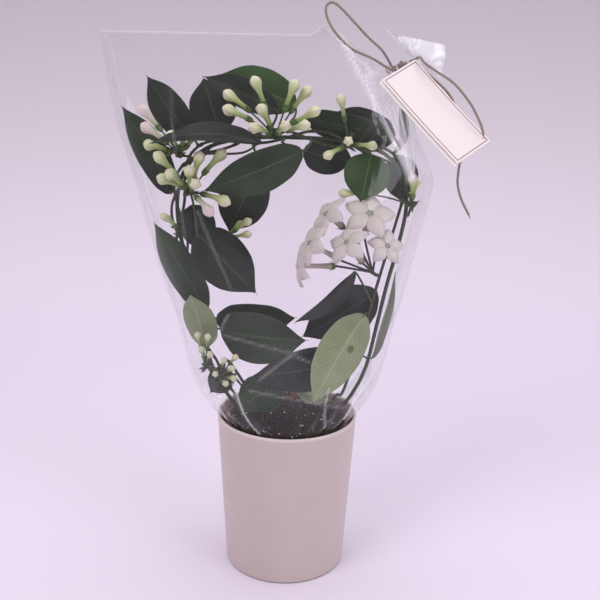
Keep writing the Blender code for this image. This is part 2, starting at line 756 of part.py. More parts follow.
def bud_mesh(hub, tip, size):
    # One bud on its pedicel, bent a little upward between the hub and its tip
    lean = (tip - hub).normalized() * 0.8 + UP * BUD_RISE + VIEWER * BUD_TOWARD_VIEWER
    path = bowed(hub, lean, tip, 8)
    total = sum((b - a).length for a, b in zip(path, path[1:]))
    bud = min(BUD_LENGTH * size, total * 0.8)
    points, radii = [hub], [PEDICEL_RADIUS]
    for share, radius in BUD_PROFILE:
        points.append(along(path, total - bud + bud * share))
        radii.append(max(radius * size, PEDICEL_RADIUS * 0.6))
    return stalk(points, radii, 5)


def stem_to(place, line):
    # A short stalk from the skin of the vine to a place
    spot, out = nearest_on_vines(place, [line], STALK_CLEAR_OF_HOOP)[0]
    start = spot + out * (VINE_RADIUS + GAP)
    return bowed(start, out, place, 4)


def spray(name, plan, lines):
    hub = mm(*plan["hub"])
    path = stem_to(hub, lines[plan["vine"]])
    meshes = [ball(hub, HUB_RADIUS), stalk(path, [STALK_RADIUS] * len(path), 6)]
    meshes += [bud_mesh(hub, mm(*tip), plan["size"]) for tip in plan["buds"]]
    return fused(name, meshes, BUD)


# Flowers

FLOWER_HUB = (76, -14, 300)
# Each open flower: the top of its pedicel, the middle of its face, how far its lobes are turned, its size,
# and how far its lobes bend back
FLOWERS = {
    "flower_1": dict(calyx=(40, -22, 307), face=(8, -27, 308), spin=18, size=0.92, droop=0.8),
    "flower_2": dict(calyx=(43, -30, 316), face=(17, -44, 333), spin=54, size=0.88, droop=1.0),
    "flower_3": dict(calyx=(47, -16, 342), face=(31, -24, 355), spin=0, size=0.92, droop=1.0),
    "flower_4": dict(calyx=(68, -3, 334), face=(70, -26, 357), spin=10, size=1.08, droop=0.8),
    "flower_5": dict(calyx=(65, -28, 313), face=(49, -47, 335), spin=30, size=0.90, droop=1.0),
    "flower_6": dict(calyx=(79, -14, 317), face=(86, -36, 330), spin=0, size=0.80, droop=1.0),
}
SPENT_PEDICEL = (60, -20, 330)
SPENT_PEDICEL_PROFILE = [(0.0, PEDICEL_RADIUS), (0.90, PEDICEL_RADIUS), (0.94, 0.0016), (1.0, 0.0006)]
PEDICEL_STRAIGHT_END = 0.003
PEDICEL_BEND_AT = 0.55
PEDICEL_BEND = 0.08
LOBE_LENGTH = 0.0200
LOBE_HALF_WIDTH = 0.0056
LOBE_THICKNESS = 0.0014
LOBE_CROWN = 0.0006
LOBE_DROOP = 0.0035
NOTCH_RADIUS = 0.0040
THROAT_DEPTH = 0.0016
# Down a lobe: share of its length, and share of its half width
LOBE_OUTLINE = [(0.42, 1.0), (0.77, 0.86)]
# Down a flower's tube from the face to the calyx: share of the way, radius between the sepals and at them
TUBE_PROFILE = [(1.0, 0.0034, 0.0034), (0.80, 0.0022, 0.0022), (0.18, 0.0020, 0.0020),
                (0.14, 0.0020, 0.0034), (0.05, 0.0026, 0.0030), (0.0, 0.0012, 0.0012)]
TUBE_SIDES = 10


def blade_ring(centre, side, normal, half_width, rise, half_edge, half_mid):
    # The six points of a thin blade's section: two edges and a middle, on its two faces
    left = centre - side * half_width + normal * rise
    right = centre + side * half_width + normal * rise
    return [left + normal * half_edge, centre + normal * half_mid, right + normal * half_edge,
            right - normal * half_edge, centre - normal * half_mid, left - normal * half_edge]


def flower_mesh(plan, spin, spare=0.0):
    # Calyx, tube and five lobes as one closed mesh: the corolla's two faces meet round its rim
    calyx, face = mm(*plan["calyx"]), mm(*plan["face"])
    size = plan["size"]
    half_thick = LOBE_THICKNESS / 2 + spare
    facing = (face - calyx).normalized()
    side = facing.orthogonal().normalized()
    over = facing.cross(side)
    body = bmesh.new()

    def at(degrees, radius, rise):
        a = radians(degrees)
        return body.verts.new(face + (cos(a) * side + sin(a) * over) * radius + facing * rise)

    def corolla_face(level, droop):
        # The notches between the lobes, then down each lobe its left edge, middle and right edge, and its tip
        notches, lobes = [], []
        for k in range(5):
            middle = spin + 72 * k
            notches.append(at(middle - 36, NOTCH_RADIUS * size, level))
            rows = []
            for share, wide in LOBE_OUTLINE:
                reach = LOBE_LENGTH * share
                half = LOBE_HALF_WIDTH * wide
                lean = degrees(atan2(half, reach))
                drop = level - droop * share ** 2
                edge = hypot(half, reach) * size
                rows.append((at(middle - lean, edge, drop), at(middle, reach * size, drop + LOBE_CROWN),
                             at(middle + lean, edge, drop)))
            lobes.append((rows, at(middle, LOBE_LENGTH * size, level - droop)))
        return notches, lobes

    def skin(sheet, inner, front):
        notches, lobes = sheet
        for k, (rows, tip) in enumerate(lobes):
            notch, after = notches[k], notches[(k + 1) % 5]
            (l1, m1, r1), (l2, m2, r2) = rows
            faces = [(notch, l1, m1), (m1, r1, after), (l1, l2, m1), (m1, l2, m2), (m1, m2, r1),
                     (r1, m2, r2), (l2, tip, m2), (m2, tip, r2)]
            if front:
                faces += [(inner, notch, m1), (inner, m1, after)]
            else:
                here, beyond = inner[k], inner[(k + 1) % 5]
                faces += [(here, notch, m1), (here, m1, beyond), (beyond, m1, after)]
            for corners in faces:
                body.faces.new(corners)

    def rim(sheet, k):
        # The edge of one lobe from notch to notch
        notches, lobes = sheet
        (near, far), tip = lobes[k]
        return [notches[k], near[0], far[0], tip, far[2], near[2], notches[(k + 1) % 5]]

    droop = LOBE_DROOP * size * plan["droop"]
    front = corolla_face(half_thick, droop)
    back = corolla_face(-half_thick, droop)
    skin(front, body.verts.new(face - facing * (THROAT_DEPTH - LOBE_THICKNESS)), True)
    reach = (face - calyx).length
    rings = []
    for share, low, high in TUBE_PROFILE:
        rise = -reach * (1 - share) - LOBE_THICKNESS * share
        count = 5 if share == 1.0 else TUBE_SIDES
        radii = [low] * count if count == 5 else [low, high] * 5
        rings.append([at(spin - 36 + 360 / count * k, radius * size + spare, rise)
                      for k, radius in enumerate(radii)])
    skin(back, rings[0], False)
    for k in range(5):
        first, middle, last = (rings[1][(2 * k + shift) % TUBE_SIDES] for shift in (0, 1, 2))
        here, after = rings[0][k], rings[0][(k + 1) % 5]
        for corners in ((here, first, middle), (here, middle, after), (after, middle, last)):
            body.faces.new(corners)
    for high, low in zip(rings[1:], rings[2:]):
        for i in range(TUBE_SIDES):
            j = (i + 1) % TUBE_SIDES
            body.faces.new((high[i], low[i], high[j]))
            body.faces.new((high[j], low[i], low[j]))
    body.faces.new(rings[-1])
    for k in range(5):
        edge, under = rim(front, k), rim(back, k)
        for a, b, c, d in zip(edge, edge[1:], under[1:], under):
            body.faces.new((a, b, c))
            body.faces.new((a, c, d))
    bmesh.ops.triangulate(body, faces=[f for f in body.faces if len(f.verts) > 3])
    bmesh.ops.recalc_face_normals(body, faces=body.faces)
    mesh = bpy.data.meshes.new("flower")
    body.to_mesh(mesh)
    body.free()
    return mesh


FLOWER_TURNS = (0, 6, -6, 12, -12, 18, -18, 24, -24, 30, 36)


def flower(name, plan, placed):
    # The flower turned on its tube by the smallest step that clears everything placed before it
    for shift in FLOWER_TURNS:
        trial = flower_mesh(plan, plan["spin"] + shift, CLEARANCE)
        tree = tree_of(trial)
        crossed = any(tree.overlap(other) for other in placed)
        bpy.data.meshes.remove(trial)
        if not crossed:
            return add_mesh(name, flower_mesh(plan, plan["spin"] + shift), PETAL)
    raise RuntimeError(f"{name} finds no clear place")


def flower_stalk(lines):
    # The stalk that carries the flowers, with a pedicel up to each calyx
    hub = mm(*FLOWER_HUB)
    path = stem_to(hub, lines["vine_right"])
    meshes = [ball(hub, HUB_RADIUS), stalk(path, [FLOWER_STALK_RADIUS] * len(path), 6)]
    for plan in FLOWERS.values():
        calyx = mm(*plan["calyx"])
        facing = (mm(*plan["face"]) - calyx).normalized()
        end = calyx - facing * GAP
        reach = (end - hub).length
        middle = hub.lerp(end, PEDICEL_BEND_AT) - facing * reach * PEDICEL_BEND
        bend = [hub, middle, end - facing * PEDICEL_STRAIGHT_END, end]
        meshes.append(stalk(bend, [PEDICEL_RADIUS] * 4, 5))
    spent = mm(*SPENT_PEDICEL)
    meshes.append(stalk([hub.lerp(spent, share) for share, _ in SPENT_PEDICEL_PROFILE],
                        [radius for _, radius in SPENT_PEDICEL_PROFILE], 5))
    return fused("flower_stalk", meshes, BUD)


# Leaves

# Each leaf: the foot of its blade and its tip, its width, how far its upper side is turned from the viewer,
# how far it arches and how deeply it folds
LEAVES = {
    "leaf_01": dict(foot=(-91, 8, 416), tip=(-131, 16, 468), wide=33, turn=-12, arch=3, fold=0.16),
    "leaf_02": dict(foot=(-66, 12, 420), tip=(-82, 26, 467), wide=42, turn=10, arch=3, fold=0.16),
    "leaf_03": dict(foot=(2, 9, 446), tip=(-66, 24, 471), wide=40, turn=20, arch=5, fold=0.18),
    "leaf_04": dict(foot=(-14, -1, 442), tip=(-77, -5, 470), wide=28, turn=44, arch=3, fold=0.20),
    "leaf_05": dict(foot=(-28, -7, 417), tip=(-122, -24, 414), wide=36, turn=68, arch=8, fold=0.16),
    "leaf_06": dict(foot=(9, -7, 408), tip=(-76, -26, 374), wide=42, turn=-20, arch=4, fold=0.20),
    "leaf_07": dict(foot=(-32, 7, 388), tip=(-58, 14, 329), wide=46, turn=8, arch=4, fold=0.14),
    "leaf_08": dict(foot=(-88, -5, 357), tip=(-80, -14, 316), wide=33, turn=-10, arch=2, fold=0.16),
    "leaf_09": dict(foot=(-84, -10, 334), tip=(-30, -34, 284), wide=48, turn=-8, arch=3, fold=0.14),
    "leaf_10": dict(foot=(-76, -22, 262), tip=(-124, -10, 339), wide=30, turn=8, arch=2, fold=0.10),
    "leaf_11": dict(foot=(-78, -16, 224), tip=(-89, -32, 280), wide=34, turn=160, arch=3, fold=0.14),
    "leaf_12": dict(foot=(-92, 13, 258), tip=(-109, 18, 296), wide=22, turn=40, arch=2, fold=0.16),
    "leaf_13": dict(foot=(-70, 12, 244), tip=(5, 20, 244), wide=48, turn=20, arch=5, fold=0.16),
    "leaf_14": dict(foot=(-64, -9, 240), tip=(16, -34, 240), wide=56, turn=12, arch=5, fold=0.16),
    "leaf_15": dict(foot=(60, -8, 212), tip=(-33, -24, 199), wide=44, turn=-10, arch=5, fold=0.16),
    "leaf_16": dict(foot=(60, -9, 299), tip=(7, -30, 256), wide=34, turn=-50, arch=3, fold=0.30),
    "leaf_17": dict(foot=(82, 5, 277), tip=(14, -4, 231), wide=48, turn=-6, arch=4, fold=0.16),
    "leaf_18": dict(foot=(70, -16, 260), tip=(24, -46, 184), wide=44, turn=176, arch=4, fold=0.12),
    "leaf_19": dict(foot=(82, 15, 208), tip=(99, 18, 294), wide=26, turn=118, arch=2, fold=0.16),
    "leaf_20": dict(foot=(11, -2, 438), tip=(91, 2, 424), wide=36, turn=36, arch=4, fold=0.16),
    "leaf_21": dict(foot=(92, 10, 419), tip=(36, 16, 440), wide=40, turn=-20, arch=4, fold=0.16),
    "leaf_22": dict(foot=(10, 7, 407), tip=(56, 16, 397), wide=34, turn=10, arch=3, fold=0.14),
    "leaf_23": dict(foot=(70, -8, 407), tip=(62, -18, 366), wide=42, turn=0, arch=3, fold=0.14),
    "leaf_24": dict(foot=(96, 9, 404), tip=(101, 15, 362), wide=34, turn=-36, arch=3, fold=0.16),
    "leaf_25": dict(foot=(96, -4, 412), tip=(93, -5, 450), wide=22, turn=40, arch=3, fold=0.18),
    "leaf_26": dict(foot=(-111, 6, 365), tip=(-152, 4, 442), wide=34, turn=42, arch=4, fold=0.20),
    "leaf_27": dict(foot=(-8, -18, 186), tip=(-45, -44, 174), wide=42, turn=30, arch=5, fold=0.14),
    "leaf_28": dict(foot=(8, -12, 186), tip=(44, -22, 176), wide=34, turn=40, arch=4, fold=0.14),
    "leaf_29": dict(foot=(-56, -14, 198), tip=(-73, -30, 178), wide=26, turn=20, arch=3, fold=0.14),
}
# Down a blade: share of its length, and share of its width
BLADE_OUTLINE = [(0.0, 0.05), (0.06, 0.46), (0.20, 0.85), (0.44, 1.0), (0.69, 0.85), (0.89, 0.38),
                 (1.0, 0.03)]
PETIOLE_SHARES = (0.0, 0.5)
PETIOLE_KNEE = 0.4


def leaf_mesh(start, out, foot, tip, wide, turn, arch, fold, spare=0.0):
    # A petiole from the stem to the blade's foot, and the blade, as one loft
    chord = (tip - foot).normalized()
    face = VIEWER - chord * VIEWER.dot(chord)
    face = Quaternion(chord, radians(turn)) @ face.normalized()
    length = (tip - foot).length
    rings = []

    def add(point, heading, half_width, rise, half_edge, half_mid):
        normal = (face - heading * face.dot(heading)).normalized()
        rings.append(blade_ring(point, heading.cross(normal), normal, half_width, rise, half_edge, half_mid))

    lift = 4 * arch / length
    blade_heading = (chord + face * lift).normalized()
    reach = (foot - start).length * PETIOLE_KNEE
    knee_low, knee_high = start + out * reach, foot - blade_heading * reach
    for t in PETIOLE_SHARES:
        point = (start * (1 - t) ** 3 + knee_low * 3 * t * (1 - t) ** 2
                 + knee_high * 3 * t * t * (1 - t) + foot * t ** 3)
        heading = ((knee_low - start) * (1 - t) ** 2 + (knee_high - knee_low) * 2 * t * (1 - t)
                   + (foot - knee_high) * t * t).normalized()
        if t == 0 and abs(face.dot(heading)) > 0.98:
            return None
        radius = PETIOLE_RADIUS + spare
        add(point, heading, radius, 0, radius * 0.5, radius)
    for share, width in BLADE_OUTLINE:
        point = foot + (tip - foot) * share + face * (4 * arch * share * (1 - share))
        heading = (chord + face * (lift * (1 - 2 * share))).normalized()
        half = max(wide / 2 * width, LEAF_EDGE_THICKNESS)
        add(point, heading, half + spare, fold * half,
            LEAF_EDGE_THICKNESS / 2 + spare, LEAF_MID_THICKNESS / 2 + spare)
    return closed_loft(rings)


def bends():
    # Small shifts of a leaf's foot and tip toward or away from the viewer, and turns, the smallest first
    shifts = [0, -4, 4, -8, 8, -12, 12, -17, 17, -22, 22, -28, 28]
    turns = [0, 10, -10, 20, -20, 32, -32, 45, -45]
    trials = [(abs(f) * 1.2 + abs(t) + abs(r) * 0.35, f, t, r)
              for f in shifts[:9] for t in shifts for r in turns]
    trials.sort(key=lambda row: row[0])
    return [(f, t, r) for _, f, t, r in trials]


def leaf(name, plan, lines, placed):
    # The leaf as planned, or bent by the smallest step that clears everything placed before it
    spots = nearest_on_vines(mm(*plan["foot"]), lines, LEAF_CLEAR_OF_HOOP)[:12:3]
    for foot_shift, tip_shift, turn_shift in bends():
        foot = mm(*plan["foot"]) + Vector((0, foot_shift * 0.001, 0))
        tip = mm(*plan["tip"]) + Vector((0, tip_shift * 0.001, 0))
        for spot, out in spots:
            values = dict(start=spot + out * (VINE_RADIUS + GAP), out=out, foot=foot, tip=tip,
                          wide=plan["wide"] * 0.001, turn=plan["turn"] + turn_shift,
                          arch=plan["arch"] * 0.001, fold=plan["fold"])
            trial = leaf_mesh(spare=CLEARANCE, **values)
            if trial is None:
                continue
            tree = tree_of(trial)
            crossed = any(tree.overlap(other) for other in placed)
            bpy.data.meshes.remove(trial)
            if not crossed:
                return add_mesh(name, leaf_mesh(**values), LEAF)
    raise RuntimeError(f"{name} finds no clear place")


def tree_of(mesh):
    return BVHTree.FromPolygons([v.co for v in mesh.vertices], [tuple(p.vertices) for p in mesh.polygons])


# Assembly

made = [pot(), grow_pot()]
made.append(wire("hoop", through(hoop_route(), HOOP_STEP), HOOP_WIRE_RADIUS, WIRE, resolution=1))
vine_lines = {}
for vine_name, vine_plan in VINES.items():
    stem, vine_lines[vine_name] = vine(vine_name, **vine_plan)
    made.append(stem)
vine_lines["low_stem"] = through([mm(*p) for p in LOW_STEM_ROUTE], 0.008)
made.append(wire("low_stem", vine_lines["low_stem"], VINE_RADIUS, STEM, resolution=1))

feet = [(foot.x, foot.y, HOOP_WIRE_RADIUS + HOLE_CLEARANCE) for foot in (HOOP_LINE[0], HOOP_LINE[-1])]
feet += [(line[0].x, line[0].y, VINE_RADIUS + HOLE_CLEARANCE) for line in vine_lines.values()]
made.append(soil(feet))

film = film_sleeve()
made.append(film)
made.append(knot(film))
for twine_name, route in TWINE_ROUTES.items():
    made.append(wire(twine_name, through([mm(*p) for p in route], TWINE_STEP), TWINE_RADIUS, JUTE))
made.append(tag())
made.append(thread())

made.append(flower_stalk(vine_lines))
for spray_name, spray_plan in SPRAYS.items():
    made.append(spray(spray_name, spray_plan, vine_lines))

trees = [tree_of(thing.data) for thing in made]
for flower_name, flower_plan in FLOWERS.items():
    bloom = flower(flower_name, flower_plan, trees)
    trees.append(tree_of(bloom.data))
for leaf_name, leaf_plan in LEAVES.items():
    blade = leaf(leaf_name, leaf_plan, list(vine_lines.values()), trees)
    trees.append(tree_of(blade.data))
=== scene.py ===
# A potted stephanotis on a wire hoop, in a taupe pot and a clear sleeve tied with twine: the looks.
# Metres, +Z up. Tables of places are in millimetres, and mm() turns a row of them into a point.
from math import cos, exp, hypot, pi, radians, sin

import bmesh
import bpy
import numpy as np
from mathutils import Matrix, Vector, noise


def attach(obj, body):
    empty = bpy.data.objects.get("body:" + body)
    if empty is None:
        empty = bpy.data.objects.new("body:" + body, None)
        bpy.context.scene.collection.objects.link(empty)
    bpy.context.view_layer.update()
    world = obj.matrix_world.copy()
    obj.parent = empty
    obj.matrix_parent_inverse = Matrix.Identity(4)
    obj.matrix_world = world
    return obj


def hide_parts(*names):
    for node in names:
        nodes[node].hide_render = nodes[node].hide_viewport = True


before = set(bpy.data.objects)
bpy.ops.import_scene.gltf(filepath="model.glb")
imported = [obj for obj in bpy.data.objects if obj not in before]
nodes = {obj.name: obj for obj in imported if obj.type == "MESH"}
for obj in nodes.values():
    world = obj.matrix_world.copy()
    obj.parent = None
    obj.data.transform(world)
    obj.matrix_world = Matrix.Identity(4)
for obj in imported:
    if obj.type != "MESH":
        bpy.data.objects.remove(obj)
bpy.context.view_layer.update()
scene = bpy.context.scene
up = Vector((0, 0, 1))
viewer = Vector((0, -1, 0))


def mm(*place):
    return Vector(place) * 0.001


def mmRows(rows):
    return [mm(*row) for row in rows]


def mix(a, b, t):
    return a + (b - a) * t


def soften(t):
    return t * t * (3 - 2 * t)


def ease(t):
    return soften(min(max(t, 0.0), 1.0))


def hermite(a, slopeA, b, slopeB, t):
    return ((2 * t ** 3 - 3 * t * t + 1) * a + (t ** 3 - 2 * t * t + t) * slopeA
            + (3 * t * t - 2 * t ** 3) * b + (t ** 3 - t * t) * slopeB)


def smoothRow(xs, rows, x):
    # a smooth reading of rows at uneven stations
    last = len(xs) - 1
    i = max(k for k in range(last) if xs[k] <= x + 1e-9)
    before, after = max(i - 1, 0), min(i + 2, last)
    span = xs[i + 1] - xs[i]
    slopeLow = (rows[i + 1] - rows[before]) / (xs[i + 1] - xs[before]) * span
    slopeHigh = (rows[after] - rows[i]) / (xs[after] - xs[i]) * span
    return hermite(rows[i], slopeLow, rows[i + 1], slopeHigh, (x - xs[i]) / span)


def curveThrough(points, step):
    # a smooth curve through the points, read at even steps along it
    points = [Vector(p) for p in points]
    padded = [points[0] * 2 - points[1]] + points + [points[-1] * 2 - points[-2]]
    fine = []
    for i in range(1, len(padded) - 2):
        p0, p1, p2, p3 = padded[i - 1:i + 3]
        for k in range(16):
            t = k / 16
            fine.append(0.5 * (2 * p1 + (p2 - p0) * t + (2 * p0 - 5 * p1 + 4 * p2 - p3) * t * t
                               + (3 * p1 - p0 - 3 * p2 + p3) * t ** 3))
    fine.append(points[-1])
    run = [0.0]
    for a, b in zip(fine, fine[1:]):
        run.append(run[-1] + (b - a).length)
    count = max(2, round(run[-1] / step))
    even, i = [], 0
    for k in range(count + 1):
        at = run[-1] * k / count
        while i < len(run) - 2 and run[i + 1] < at:
            i += 1
        even.append(fine[i].lerp(fine[i + 1], (at - run[i]) / max(run[i + 1] - run[i], 1e-9)))
    return even


def pathLength(points):
    return sum((b - a).length for a, b in zip(points, points[1:]))


def along(path, distance):
    for a, b in zip(path, path[1:]):
        length = (b - a).length
        if distance <= length:
            return a.lerp(b, distance / max(length, 1e-9))
        distance -= length
    return path[-1].copy()


def arc(x, y, radius, first, last, count):
    # places on part of a round, from one angle to another in degrees
    return [(x + radius * cos(a), y + radius * sin(a)) for a in np.radians(np.linspace(first, last, count))]


def circle(radius, steps, height, extra=0):
    # a ring at one height or on a surface; extra repeats its first places at its end
    spots = [(radius * cos(a), radius * sin(a)) for a in (2 * pi * k / steps for k in range(steps + extra))]
    return [Vector((x, y, height(x, y) if callable(height) else height)) for x, y in spots]


def placed(name, data):
    thing = bpy.data.objects.new(name, data)
    scene.collection.objects.link(thing)
    return thing


# Node trees

class Signal:
    # a number in a node tree that takes plain arithmetic
    def __init__(self, wiring, socket):
        self.wiring, self.socket = wiring, socket

    def math(self, operation, *others):
        return self.wiring.math(operation, self, *others)

    def __add__(self, other):
        return self.math("ADD", other)

    def __sub__(self, other):
        return self.math("SUBTRACT", other)

    def __rsub__(self, other):
        return self.wiring.math("SUBTRACT", other, self)

    def __mul__(self, other):
        return self.math("MULTIPLY", other)

    def __truediv__(self, other):
        return self.math("DIVIDE", other)

    def __pow__(self, other):
        return self.math("POWER", other)

    def __abs__(self):
        return self.math("ABSOLUTE")

    def clamped(self):
        self.socket.node.use_clamp = True
        return self


class Wiring:
    # short ways to add nodes to a tree and join them; a node stands for its first output
    def __init__(self, tree):
        self.tree = tree

    def add(self, kind, settings=None, **sockets):
        node = self.tree.nodes.new(kind)
        for key, value in (settings or {}).items():
            setattr(node, key, value)
        for label, value in sockets.items():
            self.feed(node.inputs[label.replace("_", " ")], value)
        return node

    def feed(self, socket, value):
        if isinstance(value, Signal):
            value = value.socket
        if isinstance(value, bpy.types.Node):
            value = value.outputs[0]
        if isinstance(value, bpy.types.NodeSocket):
            self.tree.links.new(value, socket)
        elif socket.type == "RGBA":
            socket.default_value = (*value, 1)
        else:
            socket.default_value = value

    def feedAll(self, node, values):
        for number, value in values.items():
            self.feed(node.inputs[number], value)
        return node

    def math(self, operation, *values):
        node = self.add("ShaderNodeMath", dict(operation=operation))
        return Signal(self, self.feedAll(node, dict(enumerate(values))).outputs[0])

    def ramp(self, value, stops):
        node = self.add("ShaderNodeValToRGB", Fac=value)
        row = node.color_ramp.elements
        while len(row) < len(stops):
            row.new(0.5)
        for element, (place, colour) in zip(row, stops):
            element.position = place
            element.color = (*colour, 1)
        return node

    def blend(self, share, a, b):
        node = self.add("ShaderNodeMix", dict(data_type="RGBA"))
        return self.feedAll(node, {0: share, 6: a, 7: b}).outputs[2]

    def blendShaders(self, share, a, b):
        return self.feedAll(self.add("ShaderNodeMixShader"), {0: share, 1: a, 2: b})

    def place(self, output="Object"):
        return self.add("ShaderNodeTexCoord").outputs[output]

    def parts(self, output="Object"):
        node = self.add("ShaderNodeSeparateXYZ", Vector=self.place(output))
        return [Signal(self, socket) for socket in node.outputs]

    def noise(self, scale, detail=3, roughness=0.5):
        # a scale of three numbers stretches the noise
        spot = self.place()
        if isinstance(scale, tuple):
            spot, scale = self.add("ShaderNodeMapping", Vector=spot, Scale=scale), 1.0
        node = self.add("ShaderNodeTexNoise", Vector=spot, Scale=scale, Detail=detail, Roughness=roughness)
        return Signal(self, node.outputs["Fac"])

    def paint(self, colour):
        self.feed(self.shader.inputs["Base Color"], colour)

    def gloss(self, scale, low, high):
        # a roughness that wanders between two values
        shade = self.ramp(self.noise(scale), [(0.3, (low,) * 3), (0.7, (high,) * 3)])
        self.feed(self.shader.inputs["Roughness"], shade)

    def bump(self, height, strength, distance):
        relief = self.add("ShaderNodeBump", Height=height, Strength=strength, Distance=distance)
        self.feed(self.shader.inputs["Normal"], relief)


# Camera, light and room: the camera stands where the photograph was taken from

view = dict(place=(0.0101, -0.7915, 0.5011), pitch=16.41, roll=1.34, lens=52.6, sensor=36)

lens = bpy.data.cameras.new("camera")
lens.lens = view["lens"]
lens.sensor_width = view["sensor"]
camera = placed("camera", lens)
tilt = Matrix.Rotation(radians(90 - view["pitch"]), 4, "X")
roll = Matrix.Rotation(radians(view["roll"]), 4, "Z")
camera.matrix_world = Matrix.Translation(view["place"]) @ tilt @ roll
scene.camera = camera
scene.view_settings.view_transform = "Standard"

studio = dict(
    floor=(0.685, 0.62, 0.725), middle=(0.545, 0.495, 0.545), wall=(0.325, 0.315, 0.325),
    midShadeAt=0.30, fullShadeAt=0.85, glow=0.15, roughness=0.8,
    front=-3.0, wallAt=1.15, wallTop=2.6, bend=0.55, columns=(-4.0, -1.3, 0.0, 1.3, 4.0),
    floorShare=0.4, bendShare=0.3, steps=40,
    room=(0.95, 0.92, 0.98), roomFront=-0.8, roomBack=0.5, frontStrength=0.42, backStrength=0.85)
lights = {
    "keyLight": dict(place=(-1.1, -1.2, 1.9), aim=(0, 0, 0.25), size=(1.0, 0.8), power=19,
                     colour=(1.0, 0.98, 0.98)),
    "fillLight": dict(place=(1.4, -1.1, 1.0), aim=(0.15, 0.2, 0.2), size=(0.8, 1.2), power=11,
                      colour=(0.98, 0.96, 1.0), glints=True),
    "topLight": dict(place=(0.1, 0.35, 2.1), aim=(0, 0, 0.2), size=(1.8, 1.2), power=14,
                     colour=(1.0, 0.97, 1.0)),
}


def areaLight(name, plan):
    lamp = bpy.data.lights.new(name, "AREA")
    lamp.shape = "RECTANGLE"
    lamp.size, lamp.size_y = plan["size"]
    lamp.energy = plan["power"]
    lamp.color = plan["colour"]
    holder = placed(name, lamp)
    holder.location = plan["place"]
    holder.rotation_euler = (Vector(plan["aim"]) - Vector(plan["place"])).to_track_quat("-Z", "Y").to_euler()
    holder.visible_glossy = plan.get("glints", False)


def roomLight():
    # bright behind the plant, dimmer on the camera's side
    world = bpy.data.worlds.new("room")
    scene.world = world
    world.use_nodes = True
    w = Wiring(world.node_tree)
    background = w.tree.nodes["Background"]
    _, depth, _ = w.parts("Generated")
    strength = w.add("ShaderNodeMapRange", Value=depth,
                     From_Min=studio["roomFront"], From_Max=studio["roomBack"],
                     To_Min=studio["frontStrength"], To_Max=studio["backStrength"])
    w.feed(background.inputs["Color"], studio["room"])
    w.feed(background.inputs["Strength"], strength)


for lightName, plan in lights.items():
    areaLight(lightName, plan)
roomLight()


# Materials

def surface(name, colour, roughness, **settings):
    material = bpy.data.materials.new(name)
    material.use_nodes = True
    material.diffuse_color = (*colour, 1)
    w = Wiring(material.node_tree)
    w.material = material
    w.shader = w.tree.nodes["Principled BSDF"]
    for label, value in dict(Base_Color=colour, Roughness=roughness, **settings).items():
        w.feed(w.shader.inputs[label.replace("_", " ")], value)
    return w


def grainSurface(name, colour, roughness, grain, stops, strength, depth, relief=None, **settings):
    # colours that follow one noise, and a bump that follows another one or the same
    w = surface(name, colour, roughness, **settings)
    shade = w.noise(*grain)
    w.paint(w.ramp(shade, stops))
    w.bump(w.noise(*relief) if relief else shade, strength, depth)
    return w.material


def fadingSkin(name, colour, roughness, stops, grain, sway, strength, relief, **settings):
    # UV: along a bud or a lobe from its foot, so that its colours fade from one to the next
    w = surface(name, colour, roughness, **settings)
    w.paint(w.ramp(w.parts("UV")[0] + (w.noise(grain) - 0.5) * sway, stops))
    w.bump(w.noise(*relief), strength, 0.0003)
    return w.material


def budSkin(name, stops):
    return fadingSkin(name, stops[-1][1], 0.42, stops, 160, 0.12, 0.12, (900, 2), Subsurface_Weight=0.10,
                      Subsurface_Scale=0.002)


def stemBark(name, low, high, roughness=0.5):
    grain = ((420, 420, 110), 5)
    return grainSurface(name, high, roughness, grain, [(0.32, low), (0.70, high)], 0.35, 0.0004)


glazePaintedLight = dict(highlightFrom=0.1525, highlightEdge=900, footShadowTo=0.0016, footShadowEdge=1600)


def potGlaze():
    # a painted highlight that lightens the lip, and a dark line of painted shade at the foot
    w = surface("satinTaupeGlaze", (0.50, 0.41, 0.42), 0.36, Coat_Weight=0.18, Coat_Roughness=0.22)
    _, _, height = w.parts()
    # painted highlight: the share of lighter colour on the lip, where it faces the light
    lip = ((height - glazePaintedLight["highlightFrom"]) * glazePaintedLight["highlightEdge"]).clamped()
    # painted shade: the share of dark colour at the foot, where the pot stands on the floor
    foot = ((glazePaintedLight["footShadowTo"] - height) * glazePaintedLight["footShadowEdge"]).clamped()
    colour = w.ramp(w.noise(38, 4), [(0.3, (0.540, 0.440, 0.424)), (0.7, (0.558, 0.458, 0.440))])
    colour = w.blend(lip, colour, (0.68, 0.58, 0.56))
    w.paint(w.blend(foot, colour, (0.16, 0.12, 0.11)))
    w.gloss(90, 0.32, 0.42)
    w.bump(w.noise(420), 0.10, 0.0004)
    return w.material


leafVeins = dict(along=44, slant=13, rimGlintFrom=0.955, rimGlintEdge=18)


def leafLines(w, sharpness):
    # UV: along the blade, and across it from edge to edge. Also the way off the midrib, and the side veins
    lengthways, across, _ = w.parts("UV")
    off = abs(across * 2 - 1)
    vein = abs((lengthways * leafVeins["along"] - off * leafVeins["slant"]).math("COSINE")) ** sharpness
    return lengthways, across, off, vein


def leafUpper(name, dark, light, rib):
    w = surface(name, dark, 0.36, Specular_IOR_Level=0.34, Coat_Weight=0.05, Coat_Roughness=0.25)
    _, _, off, vein = leafLines(w, 26)
    vein = vein * ((1 - off).clamped() * 0.34)
    midrib = (1 - off * 17).clamped() * 0.85
    # painted highlight: a lighter line along the blade's rim
    edge = ((off - leafVeins["rimGlintFrom"]) * leafVeins["rimGlintEdge"]).clamped() * 0.5
    colour = w.ramp(w.noise(46, 4), [(0.34, dark), (0.68, light)])
    for share in (vein, midrib, edge):
        colour = w.blend(share, colour, rib)
    w.paint(colour)
    w.gloss(85, 0.33, 0.46)
    w.bump(vein * -0.9 + w.noise(110, 2) * 0.5, 0.25, 0.0008)
    return w.material


